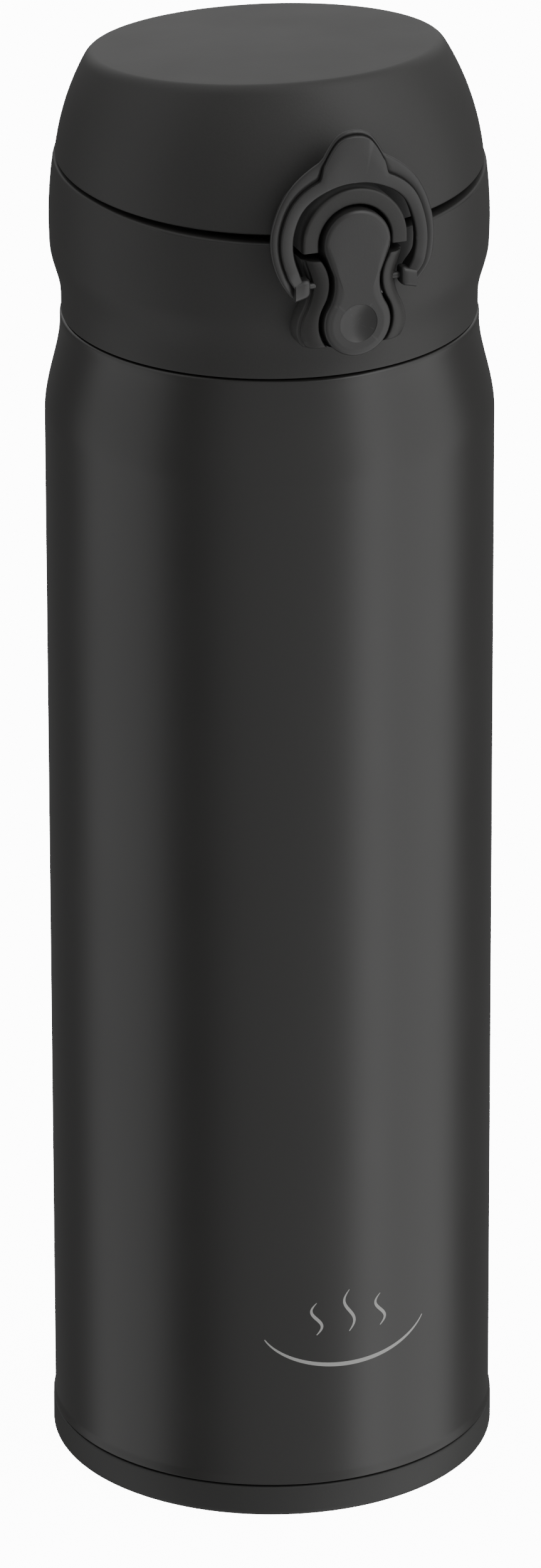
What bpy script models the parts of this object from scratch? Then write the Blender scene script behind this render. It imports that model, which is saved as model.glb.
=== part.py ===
"""Vacuum flask with a flip lid, a rocker button and a swinging lock ring.

Metres, +Z up. The front (button side) faces -Y, and the origin is the centre of the flat base.
Heights are measured from the base, and "reach" is a distance forward of the flask's axis.
"""
import math

import bmesh
import bpy

MM = 0.001

# --- gaps and meshing -----------------------------------------------------------------------
GAP = 0.3 * MM                  # between pieces that touch or seat on each other
MOVE_GAP = 0.5 * MM             # around a moving piece
OVERCUT = 2.0 * MM              # how far a cutter runs past the wall that it cuts
ROUND_STEPS = 40
SMALL_STEPS = 16
INNER_STEPS = 28
MERGE = 0.00001
SHARP_ANGLE = math.radians(35)

# --- flask body -----------------------------------------------------------------------------
BODY_RADIUS = 32.5 * MM
BODY_BOTTOM = 5.3 * MM
SHOULDER_START = 163.0 * MM
SHOULDER_RISE = 14.0 * MM
SHOULDER_STEP = 2.3 * MM        # how much narrower the flask is above its shoulder
LEDGE_RISE = 1.5 * MM           # from the shoulder's end to the ledge under the collar
STEEL_WALL = 0.6 * MM
FOOT_FLARE = 0.3 * MM           # the rolled lower edge stands this much proud
FOOT_FLARE_RISE = 1.0 * MM
NECK_RADIUS = 23.3 * MM
NECK_RISE = 14.1 * MM           # the neck above the ledge
NECK_FILLET = 0.8 * MM
LEDGE_ROUND = 0.6 * MM
LIP_WIDTH = 0.3 * MM            # how far the welded lip stands proud of the neck
VACUUM_GAP = 2.0 * MM
VESSEL_BOTTOM = 12.0 * MM
VESSEL_CORNER = 6.0 * MM
VESSEL_SHOULDER_DROP = 5.0 * MM  # the inner shoulder ends this far under the ledge
FOIL_THICK = 0.3 * MM
FOIL_END_GAP = 4.0 * MM
BASE_PLATE_INSET = 0.7 * MM
BASE_PLATE_DISH = 3.0 * MM      # width of the plate's raised rim
BASE_PLATE_LIFT = 1.0 * MM
SEAL_RADIUS = 2.2 * MM
SEAL_THICK = 0.8 * MM
SEAL_TAPER = 0.4 * MM
GETTER_RADIUS = 4.0 * MM
GETTER_THICK = 1.5 * MM
GETTER_REACH = 14.0 * MM

# --- base cap -------------------------------------------------------------------------------
CAP_PROUD = 0.3 * MM
CAP_HEIGHT = BODY_BOTTOM - GAP
CAP_FLOOR = 1.8 * MM
CAP_RING_WALL = 1.8 * MM
CAP_LOWER_ROUND = 1.2 * MM
CAP_UPPER_ROUND = 0.8 * MM
CAP_GROOVE_RADIUS = 26.0 * MM
CAP_GROOVE_WIDTH = 1.0 * MM
CAP_GROOVE_DEPTH = 0.5 * MM

# --- screw thread ---------------------------------------------------------------------------
THREAD_PITCH = 5.0 * MM
THREAD_TURNS = 1.25
THREAD_DEPTH = 1.2 * MM
THREAD_FOOT = 2.0 * MM
THREAD_CREST = 1.0 * MM
THREAD_ROOT = 0.3 * MM          # how far a thread's foot is sunk in its wall
THREAD_LOW = 3.2 * MM           # lower end of the neck's thread above the ledge
THREAD_STEPS = 28

# --- collar ---------------------------------------------------------------------------------
LEDGE = SHOULDER_START + SHOULDER_RISE + LEDGE_RISE
COLLAR_BOTTOM = LEDGE + GAP
COLLAR_NECK_RADIUS = BODY_RADIUS - SHOULDER_STEP - 0.2 * MM
COLLAR_FLARE_START = 2.0 * MM
COLLAR_FLARE_RISE = 8.0 * MM
COLLAR_BAND = BODY_RADIUS - 0.85 * MM
COLLAR_BAND_RISE = 13.7 * MM    # where the collar is widest, above its bottom
COLLAR_BAND_BOW = 67.0 * MM     # radius of the band's gentle bow
COLLAR_WALL = 1.8 * MM
BORE_RADIUS = NECK_RADIUS + THREAD_DEPTH + 0.7 * MM
COLLAR_INNER_TAPER = 0.5 * MM
SKIRT_WALL = 1.8 * MM
SKIRT_LIFT = 1.5 * MM           # the threaded skirt ends above the collar's lower edge
GASKET_THICK = 1.5 * MM
LIP_TOP = LEDGE + NECK_RISE + GAP + STEEL_WALL
DECK_BOTTOM = LIP_TOP + GAP + GASKET_THICK + GAP
DECK_THICK = 1.4 * MM
DECK_TOP = DECK_BOTTOM + DECK_THICK
UPPER_WALL_INNER = COLLAR_BAND - 3.2 * MM
VENT_RADIUS = 1.5 * MM
VENT_STEPS = 12
VENT_REACH = -14.0 * MM

# --- parting line, lid and its top ----------------------------------------------------------
PARTING = LEDGE + 23.5 * MM     # height of the lid's lower edge over the axis
PARTING_SLOPE = 0.0483          # the lid's edge falls toward the front by this much
COLLAR_EDGE_SLOPE = 0.0818      # the collar's edge falls faster, which opens the finger gap
PARTING_GAP = 0.35 * MM
FINGER_GAP = 0.05 * MM          # the steeper cut starts this far under the lid's edge
LID_HEIGHT = 16.1 * MM          # the top's height above the lid's lower edge, over the axis
LID_TOP_SLOPE = 0.1075          # the top rises toward the front
LID_RADIUS = BODY_RADIUS - 1.55 * MM
LID_BOW = 38.2 * MM             # radius of the lid wall's bow
LID_BOW_DROP = 4.0 * MM         # the bow is upright this far under the lid's edge
LID_WALL = 2.0 * MM
BLANK_RISE = 24.0 * MM          # the uncut lid's height above the parting line

# --- mouthpiece and what seals it -------------------------------------------------------------
SPOUT_REACH = 8.0 * MM
SPOUT_RADIUS = 9.5 * MM
SPOUT_WALL = 1.6 * MM
SPOUT_RISE = 9.5 * MM           # above the deck
FLANGE_RADIUS = SPOUT_RADIUS + 2.5 * MM
FLANGE_THICK = 1.2 * MM
SPOUT_SEAL_THICK = 0.6 * MM
LID_GASKET_THICK = 2.0 * MM
LID_GASKET_RADIUS = SPOUT_RADIUS + 1.1 * MM
LINER_THICK = 1.6 * MM
LINER_RING_WALL = 1.3 * MM
LINER_RING_DROP = 3.0 * MM
LINER_EDGE_GAP = 0.5 * MM

# --- push button ------------------------------------------------------------------------------
BUTTON_ROUND = 5.0 * MM         # radius of the button's upper and lower ends
BUTTON_SPACING = 11.8 * MM      # between the two ends' centres
BUTTON_LOW = LEDGE + 10.0 * MM  # centre of the lower end
BUTTON_WAIST = 3.4 * MM         # half the width of the waist
BUTTON_FACE = BODY_RADIUS + 3.3 * MM
BUTTON_BACK = BODY_RADIUS - 0.8 * MM
BUTTON_PRESS_GAP = 0.55 * MM
DIMPLE_RADIUS = 2.85 * MM
DIMPLE_DEPTH = 0.7 * MM
BUTTON_PIN_RADIUS = 0.9 * MM
BUTTON_PIN_RUN = 0.3 * MM       # radial running clearance of the small pins
BUTTON_PIN_HALF = 5.0 * MM
BUTTON_PIN_RISE = 3.5 * MM      # the pin above the lower end's centre
BUTTON_PIN_BACKSET = 3.3 * MM   # the pin behind the button's face
HOOK_HALF_WIDTH = 2.4 * MM
HOOK_HEIGHT = 2.0 * MM
HOOK_RISE = 8.6 * MM            # the hook above the pin
HOOK_REACH = 3.6 * MM
HOOK_CLEAR = 1.0 * MM
HOOK_ROOT = 0.5 * MM            # how deep the hook is sunk in the button
HOOK_NOTCH_DROP = 9.0 * MM
HOOK_NOTCH_DEPTH = 5.0 * MM
BUTTON_SPRING_RADIUS = 2.0 * MM
BUTTON_SPRING_WIRE = 0.25 * MM
BUTTON_SPRING_TURNS = 4
BUTTON_SPRING_DROP = 1.5 * MM   # the spring's axis under the lower end's centre
BUTTON_TRAVEL = math.radians(8)
SPRING_TURN_STEPS = 10

# --- cheeks and the lid's arch ------------------------------------------------------------------
CHEEK_FACE = BODY_RADIUS + 2.4 * MM
CHEEK_TOP = 19.6 * MM           # above the ledge
CHEEK_TRIM = 0.05 * MM          # the cheeks' top is trimmed flat with the wall under the arch
CHEEK_TOP_HALF = 7.7 * MM
CHEEK_WAIST_HALF = 6.6 * MM
CHEEK_LOW_HALF = 8.3 * MM
CHEEK_FOOT_HALF = 5.9 * MM
CHEEK_LOW_RISE = 8.8 * MM       # where the foot is widest, above the ledge
CHEEK_FLARE = 1.2 * MM
CHEEK_FLARE_BOW = 0.2 * MM
CHEEK_FOOT_INSET = 0.5 * MM
CHEEK_FOOT_TURN = 1.5 * MM
CHEEK_FOOT_DROP = 2.3 * MM
CHEEK_SHOULDER = 0.3 * MM
ARCH_FACE = BODY_RADIUS + 2.1 * MM
ARCH_INNER = BUTTON_ROUND + MOVE_GAP
ARCH_WIDTH = 2.35 * MM
ARCH_LEG = 0.9 * MM             # the arch's legs under its centre
ARCH_ROOT = 0.3 * MM            # how deep the arch is sunk in the lid's wall
ARCH_ROOM_DEPTH = 4.0 * MM      # the opening behind the arch, inside the collar's wall
ARCH_ROOM_RISE = 9.0 * MM
ARC_STEPS = 16

# --- lock ring ----------------------------------------------------------------------------------
RING_CENTRE = 21.05 * MM        # above the ledge
RING_INNER = 9.25 * MM
RING_OUTER = 12.3 * MM
RING_OUTER_RISE = 1.35 * MM     # the outer edge is centred above the inner edge
RING_BACK = ARCH_FACE + 0.4 * MM
RING_FACE = BODY_RADIUS + 3.7 * MM
RAIL_BACK = BODY_RADIUS
RAIL_INNER = ARCH_INNER + ARCH_WIDTH + 0.5 * MM
RAIL_INSET = 0.2 * MM           # the thick sides lie inside the ring's outline
RAIL_END = 0.6 * MM
TAB_RISE = 3.4 * MM             # the thumb tab's peak above the ring
TAB_HALF = 4.9 * MM
TAB_SHOULDER = 1.0 * MM
TAB_SHOULDER_RISE = 0.6 * MM
TAB_CROWN = 3.4 * MM
TAB_CROWN_START = 25            # degrees above level
RING_PIVOT_DROP = 5.35 * MM     # the pivots under the ring's centre
RING_PIVOT_REACH = BODY_RADIUS + 1.1 * MM
RING_END_DROP = 7.05 * MM
RING_HOOK_HALF = 8.9 * MM       # the lower end of each side, across
RING_STUB_ABOVE = 1.5 * MM      # the inward stub reaches this far over and under its pivot
RING_STUB_BELOW = 1.3 * MM
RING_PIN_RADIUS = 0.7 * MM
RING_PIN_DEPTH = 1.1 * MM

# --- rear hinge ---------------------------------------------------------------------------------
HINGE_REACH = 1.3 * MM - BODY_RADIUS
HINGE_DROP = 0.2 * MM           # the hinge's axis under the parting line
HINGE_HEIGHT = PARTING - PARTING_SLOPE * HINGE_REACH - HINGE_DROP
KNUCKLE_RADIUS = 2.9 * MM
KNUCKLE_CLEAR = 0.45 * MM
KNUCKLE_SIDE = 0.25 * MM        # side room in the collar's hinge recess
HINGE_PIN_RADIUS = 1.0 * MM
LID_KNUCKLE_HALF = 5.2 * MM
EAR_HALF = 9.6 * MM
EAR_CAP = 0.8 * MM              # the closed end of each ear's pin hole
WEB_SLIM = 0.1 * MM             # a web is this much slimmer than its knuckle on each side
EAR_WEB_INNER = 2.6 * MM
EAR_WEB_OUTER = 2.2 * MM
EAR_WEB_DROP = 6.0 * MM
EAR_WEB_TOP = -1.0 * MM
LID_WEB_INNER = 4.2 * MM
LID_WEB_OUTER = 1.2 * MM
LID_WEB_LOW = 0.4 * MM
LID_WEB_TOP = 3.9 * MM
SPRING_POCKET_HALF = 2.6 * MM
HINGE_SPRING_RADIUS = 1.75 * MM
HINGE_SPRING_WIRE = 0.25 * MM
HINGE_SPRING_TURNS = 5
HINGE_SPRING_TURN_STEPS = 8


def clear_scene():
    for obj in list(bpy.data.objects):
        bpy.data.objects.remove(obj, do_unlink=True)


def collection(name):
    made = bpy.data.collections.new(name)
    bpy.context.scene.collection.children.link(made)
    return made


clear_scene()
FLASK = collection("vacuum_flask")
GUIDES = collection("cutters_and_guides")


# --- materials ----------------------------------------------------------------------------------
def material(name, colour, roughness, metallic=0.0):
    made = bpy.data.materials.new(name)
    made.use_nodes = True
    shader = made.node_tree.nodes["Principled BSDF"]
    shader.inputs["Base Color"].default_value = (*colour, 1.0)
    shader.inputs["Roughness"].default_value = roughness
    shader.inputs["Metallic"].default_value = metallic
    made.diffuse_color = (*colour, 1.0)
    return made


def black_paint():
    return material("satin_black_paint", (0.022, 0.022, 0.021), 0.38)


def black_plastic():
    return material("matte_black_plastic", (0.030, 0.030, 0.029), 0.55)


def lock_plastic():
    return material("lock_black_plastic", (0.034, 0.034, 0.033), 0.48)


def steel():
    return material("brushed_steel", (0.60, 0.60, 0.58), 0.32, 1.0)


def foil_metal():
    return material("bright_foil", (0.80, 0.52, 0.36), 0.25, 1.0)


def pin_steel():
    return material("pin_steel", (0.55, 0.55, 0.55), 0.25, 1.0)


def silicone():
    return material("grey_silicone", (0.24, 0.24, 0.24), 0.60)


def white_plastic():
    return material("pale_plastic", (0.50, 0.50, 0.48), 0.45)


# --- building blocks ----------------------------------------------------------------------------
def link(obj, where, mat):
    where.objects.link(obj)
    if mat:
        obj.data.materials.append(mat)
    if where is GUIDES:
        obj.hide_render = True
        obj.display_type = "WIRE"
    return obj


def shade(mesh):
    mesh.shade_smooth()
    mesh.set_sharp_from_angle(angle=SHARP_ANGLE)


def turned(name, profile, mat=None, where=None, steps=ROUND_STEPS, loop=True, centre=(0.0, 0.0)):
    """Turn a profile of (radius, height) points about an upright axis at centre."""
    mesh = bpy.data.meshes.new(name)
    ends = [(i, i + 1) for i in range(len(profile) - 1)]
    if loop:
        ends.append((len(profile) - 1, 0))
    mesh.from_pydata([(r, 0.0, z) for r, z in profile], ends, [])
    obj = bpy.data.objects.new(name, mesh)
    link(obj, where or FLASK, mat)
    obj.location = (centre[0], centre[1], 0.0)
    screw = obj.modifiers.new("turn", "SCREW")
    screw.steps = steps
    screw.render_steps = steps
    screw.use_merge_vertices = True
    screw.merge_threshold = MERGE
    screw.use_smooth_shade = True
    return obj


def realise(obj):
    """Swap an object for a plain mesh of its evaluated shape, at the same place."""
    bpy.context.view_layer.update()
    graph = bpy.context.evaluated_depsgraph_get()
    mesh = bpy.data.meshes.new_from_object(obj.evaluated_get(graph))
    work = bmesh.new()
    work.from_mesh(mesh)
    bmesh.ops.remove_doubles(work, verts=work.verts, dist=MERGE)
    work.to_mesh(mesh)
    work.free()
    name = obj.name
    where = obj.users_collection[0]
    made = bpy.data.objects.new(name, mesh)
    made.matrix_world = obj.matrix_world
    bpy.data.objects.remove(obj, do_unlink=True)
    made.name = name
    return link(made, where, None)


def plate(name, outline, back, face, mat=None, where=None):
    """A flat outline of (across, height) points that fills from one reach to another."""
    curve = bpy.data.curves.new(name, "CURVE")
    curve.dimensions = "2D"
    curve.fill_mode = "BOTH"
    curve.extrude = (face - back) / 2
    spline = curve.splines.new("POLY")
    spline.points.add(len(outline) - 1)
    for point, (across, height) in zip(spline.points, outline):
        point.co = (across, height, 0.0, 1.0)
    spline.use_cyclic_u = True
    obj = bpy.data.objects.new(name, curve)
    link(obj, where or FLASK, mat)
    obj.rotation_euler = (math.pi / 2, 0.0, 0.0)
    obj.location = (0.0, -(back + face) / 2, 0.0)
    return realise(obj)


def cross_rod(name, radius, half, reach, height, mat=None, where=None, middle=0.0):
    """A round rod along X."""
    mesh = bpy.data.meshes.new(name)
    work = bmesh.new()
    bmesh.ops.create_cone(work, cap_ends=True, segments=SMALL_STEPS, radius1=radius, radius2=radius,
                          depth=2 * half)
    work.to_mesh(mesh)
    work.free()
    shade(mesh)
    obj = bpy.data.objects.new(name, mesh)
    link(obj, where or FLASK, mat)
    obj.rotation_euler = (0.0, math.pi / 2, 0.0)
    obj.location = (middle, -reach, height)
    return obj


def block(name, low, high, where=None, slope=0.0, mat=None):
    """A box between two corners, turned about its lower face's centre so that it climbs to -Y."""
    mesh = bpy.data.meshes.new(name)
    work = bmesh.new()
    bmesh.ops.create_cube(work, size=1.0)
    size = [h - l for l, h in zip(low, high)]
    for vert in work.verts:
        vert.co = [c * s for c, s in zip(vert.co, size)]
        vert.co.z += size[2] / 2
    work.to_mesh(mesh)
    work.free()
    obj = bpy.data.objects.new(name, mesh)
    link(obj, where or FLASK, mat)
    obj.location = ((low[0] + high[0]) / 2, (low[1] + high[1]) / 2, low[2])
    obj.rotation_euler = (-math.atan(slope), 0.0, 0.0)
    return obj


def combine(obj, other, operation):
    change = obj.modifiers.new(operation.lower() + "_" + other.name, "BOOLEAN")
    change.operation = operation
    change.solver = "EXACT"
    change.object = other


def cut(obj, *others):
    for other in others:
        combine(obj, other, "DIFFERENCE")


def join(obj, *others):
    for other in others:
        combine(obj, other, "UNION")


def wire(name, points, radius, mat):
    """A round wire through points, as a curve with filled ends."""
    curve = bpy.data.curves.new(name, "CURVE")
    curve.dimensions = "3D"
    curve.bevel_depth = radius
    curve.bevel_resolution = 2
    curve.use_fill_caps = True
    spline = curve.splines.new("POLY")
    spline.points.add(len(points) - 1)
    for point, place in zip(spline.points, points):
        point.co = (*place, 1.0)
    obj = bpy.data.objects.new(name, curve)
    return link(obj, FLASK, mat)


def arc(centre, radius, start, end, steps=ARC_STEPS):
    """Points along an arc, angles in degrees."""
    turn = [math.radians(start + (end - start) * i / steps) for i in range(steps + 1)]
    return [(centre[0] + radius * math.cos(a), centre[1] + radius * math.sin(a)) for a in turn]


def mirrored(half):
    """Close an outline from its right half, which runs from one end to the other."""
    return half + [(-x, z) for x, z in reversed(half) if x > MERGE]


def ease(t):
    t = min(max(t, 0.0), 1.0)
    return t * t * (3 - 2 * t)


def s_curve(low, rise, start, change, steps=5):
    """A turned wall that eases from one radius by change, listed from its top down."""
    return [(start + change * ease(i / steps), low + rise * i / steps) for i in range(steps, -1, -1)]


def mount_on(pivot, *pieces):
    """Hang pieces on a pivot's empty while their meshes stay where they are."""
    for piece in pieces:
        piece.parent = pivot
        piece.location = [p - q for p, q in zip(piece.location, pivot.location)]


def pivot(name, place):
    obj = bpy.data.objects.new(name, None)
    GUIDES.objects.link(obj)
    obj.location = place
    obj.empty_display_size = 5 * MM
    return obj


def helix_thread(name, wall, outward, low, where):
    """One ridge of a round thread that climbs about the axis, wide at its wall, narrow at its crest."""
    mesh = bpy.data.meshes.new(name)
    side = 1.0 if outward else -1.0
    section = [(wall - side * THREAD_ROOT, -THREAD_FOOT / 2), (wall - side * THREAD_ROOT, THREAD_FOOT / 2),
               (wall + side * THREAD_DEPTH, THREAD_CREST / 2),
               (wall + side * THREAD_DEPTH, -THREAD_CREST / 2)]
    if not outward:
        section.reverse()
    count = int(THREAD_STEPS * THREAD_TURNS)
    work = bmesh.new()
    rings = []
    for i in range(count + 1):
        angle = 2 * math.pi * i / THREAD_STEPS
        climb = low + THREAD_PITCH * i / THREAD_STEPS
        rings.append([work.verts.new((r * math.cos(angle), r * math.sin(angle), climb + z))
                      for r, z in section])
    for one, two in zip(rings, rings[1:]):
        for k in range(len(section)):
            work.faces.new((one[k], two[k], two[(k + 1) % 4], one[(k + 1) % 4]))
    work.faces.new(rings[0])
    work.faces.new(reversed(rings[-1]))
    bmesh.ops.recalc_face_normals(work, faces=work.faces)
    work.to_mesh(mesh)
    work.free()
    return link(bpy.data.objects.new(name, mesh), where, None)


# --- flask body -----------------------------------------------------------------------------------
def wall_loop(outer, thick):
    """Close a turned wall: its outer side top to bottom, then the inner side back up."""
    inner = []
    for i, (r, z) in enumerate(outer):
        before = outer[max(i - 1, 0)]
        after = outer[min(i + 1, len(outer) - 1)]
        run = (after[0] - before[0], after[1] - before[1])
        length = math.hypot(*run)
        inner.append((max(r + run[1] / length * thick, 0.0), z - run[0] / length * thick))
    return outer + inner[::-1]


def make_outer_shell(paint):
    neck_top = LEDGE + NECK_RISE
    ledge_radius = BODY_RADIUS - SHOULDER_STEP
    outer = [(NECK_RADIUS, neck_top), (NECK_RADIUS, LEDGE + NECK_FILLET), (NECK_RADIUS + NECK_FILLET, LEDGE)]
    outer += [(ledge_radius - LEDGE_ROUND, LEDGE), (ledge_radius, LEDGE - LEDGE_ROUND)]
    outer += s_curve(SHOULDER_START, SHOULDER_RISE, BODY_RADIUS, -SHOULDER_STEP)
    outer += [(BODY_RADIUS, BODY_BOTTOM + FOOT_FLARE_RISE), (BODY_RADIUS + FOOT_FLARE, BODY_BOTTOM)]
    shell = turned("outer_shell", wall_loop(outer, STEEL_WALL), paint)
    thread = helix_thread("neck_thread", NECK_RADIUS, True, LEDGE + THREAD_LOW, GUIDES)
    join(shell, thread)
    return shell


def make_inner_vessel(metal):
    neck = NECK_RADIUS - STEEL_WALL - GAP
    body = BODY_RADIUS - STEEL_WALL - VACUUM_GAP
    lip = LEDGE + NECK_RISE + GAP
    shoulder_top = LEDGE - VESSEL_SHOULDER_DROP
    outer = [(NECK_RADIUS + LIP_WIDTH, lip + STEEL_WALL), (NECK_RADIUS + LIP_WIDTH, lip), (neck, lip)]
    outer += s_curve(shoulder_top - SHOULDER_RISE, SHOULDER_RISE, body, neck - body)
    corner = VESSEL_CORNER
    outer += [(body - corner + x, VESSEL_BOTTOM + corner + z) for x, z in arc((0, 0), corner, 0, -90, 4)]
    outer += [(0.0, VESSEL_BOTTOM)]
    inner_corner = corner - STEEL_WALL
    inner = [(0.0, VESSEL_BOTTOM + STEEL_WALL)]
    inner += [(body - corner + x, VESSEL_BOTTOM + corner + z)
              for x, z in arc((0, 0), inner_corner, -90, 0, 4)]
    inner += s_curve(shoulder_top - SHOULDER_RISE, SHOULDER_RISE, body - STEEL_WALL, neck - body)[::-1]
    inner += [(neck - STEEL_WALL, lip + STEEL_WALL)]
    return turned("inner_vessel", inner + outer, metal, steps=INNER_STEPS, loop=False)


def make_radiation_foil(metal):
    inner = BODY_RADIUS - STEEL_WALL - VACUUM_GAP + GAP
    low = VESSEL_BOTTOM + FOIL_END_GAP
    high = LEDGE - VESSEL_SHOULDER_DROP - SHOULDER_RISE - FOIL_END_GAP
    outer = inner + FOIL_THICK
    return turned("radiation_foil", [(outer, high), (outer, low), (inner, low), (inner, high)], metal,
                  steps=INNER_STEPS)


def make_base_plate(metal):
    edge = BODY_RADIUS - STEEL_WALL - GAP
    top = BODY_BOTTOM + BASE_PLATE_INSET + STEEL_WALL
    dish = edge - BASE_PLATE_DISH
    rim = top + BASE_PLATE_LIFT
    outer = [(0.0, top), (dish, top), (dish + BASE_PLATE_LIFT, rim), (edge, rim)]
    lower = [(r, z - STEEL_WALL) for r, z in reversed(outer)]
    return turned("base_plate", outer + lower, metal, steps=INNER_STEPS, loop=False)


def make_getter(metal):
    low = BODY_BOTTOM + BASE_PLATE_INSET + STEEL_WALL + GAP
    high = low + GETTER_THICK
    profile = [(0.0, high), (GETTER_RADIUS, high), (GETTER_RADIUS, low), (0.0, low)]
    return turned("getter", profile, metal, steps=SMALL_STEPS, loop=False, centre=(0.0, GETTER_REACH))


def make_vacuum_seal(metal):
    high = BODY_BOTTOM + BASE_PLATE_INSET - GAP
    low = high - SEAL_THICK
    profile = [(0.0, high), (SEAL_RADIUS, high), (SEAL_RADIUS - SEAL_TAPER, low), (0.0, low)]
    return turned("vacuum_seal", profile, metal, steps=SMALL_STEPS, loop=False)


def make_base_cap(plastic):
    edge = BODY_RADIUS + CAP_PROUD
    ring = BODY_RADIUS - STEEL_WALL - GAP
    ring_top = BODY_BOTTOM + BASE_PLATE_INSET - GAP
    low = CAP_LOWER_ROUND
    top = CAP_UPPER_ROUND
    half = CAP_GROOVE_WIDTH / 2
    inner = ring - CAP_RING_WALL
    profile = [(0.0, CAP_FLOOR), (inner, CAP_FLOOR), (inner, ring_top), (ring, ring_top), (ring, CAP_HEIGHT)]
    profile += [(edge - top + x, CAP_HEIGHT - top + z) for x, z in arc((0, 0), top, 90, 0, 3)]
    profile += [(edge - low + x, low + z) for x, z in arc((0, 0), low, 0, -90, 3)]
    profile += [(CAP_GROOVE_RADIUS + half, 0.0), (CAP_GROOVE_RADIUS + half, CAP_GROOVE_DEPTH)]
    profile += [(CAP_GROOVE_RADIUS - half, CAP_GROOVE_DEPTH), (CAP_GROOVE_RADIUS - half, 0.0), (0.0, 0.0)]
    return turned("base_cap", profile, plastic, loop=False)


# --- button outline, shared by the button, its pocket and the arch ----------------------------------
def button_outline(grow=0.0):
    """Two round ends joined by hollow sides that are tangent to both."""
    end = BUTTON_ROUND + grow
    waist = BUTTON_WAIST + grow
    half = BUTTON_SPACING / 2
    hollow = (half ** 2 + waist ** 2 - end ** 2) / (2 * (end - waist))
    middle = BUTTON_LOW + half
    lean = math.degrees(math.atan2(half, waist + hollow))
    low = arc((0.0, BUTTON_LOW), end, -90, lean, 12)
    side = arc((waist + hollow, middle), hollow, 180 + lean, 180 - lean, 8)
    high = arc((0.0, BUTTON_LOW + BUTTON_SPACING), end, -lean, 90, 12)
    return mirrored(low + side[1:-1] + high)


# --- collar -----------------------------------------------------------------------------------------
def deck_hole(name, radius, reach, steps):
    """An upright round cutter that passes through the collar's deck."""
    high = DECK_TOP + OVERCUT
    low = DECK_BOTTOM - OVERCUT
    return turned(name, [(0.0, high), (radius, high), (radius, low), (0.0, low)], where=GUIDES,
                  steps=steps, loop=False, centre=(0.0, -reach))


def collar_band(height):
    """The collar's outer radius at a height: a neck, a flare and a gently bowed band."""
    rise = height - COLLAR_BOTTOM
    flare = ease((rise - COLLAR_FLARE_START) / COLLAR_FLARE_RISE)
    neck = COLLAR_NECK_RADIUS
    bow = COLLAR_BAND - COLLAR_BAND_BOW
    bow += math.sqrt(COLLAR_BAND_BOW ** 2 - (rise - COLLAR_BAND_RISE) ** 2)
    return neck + (bow - neck) * flare


def parting_cutter(name, height, slope, under=False):
    """A block that fills the space over, or under, a plane which falls toward the front."""
    span = 2 * BODY_RADIUS
    cutter = block(name, (-span, -span, height), (span, span, height + span), GUIDES, -slope)
    if under:
        cutter.rotation_euler.x += math.pi
    return cutter


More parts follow.
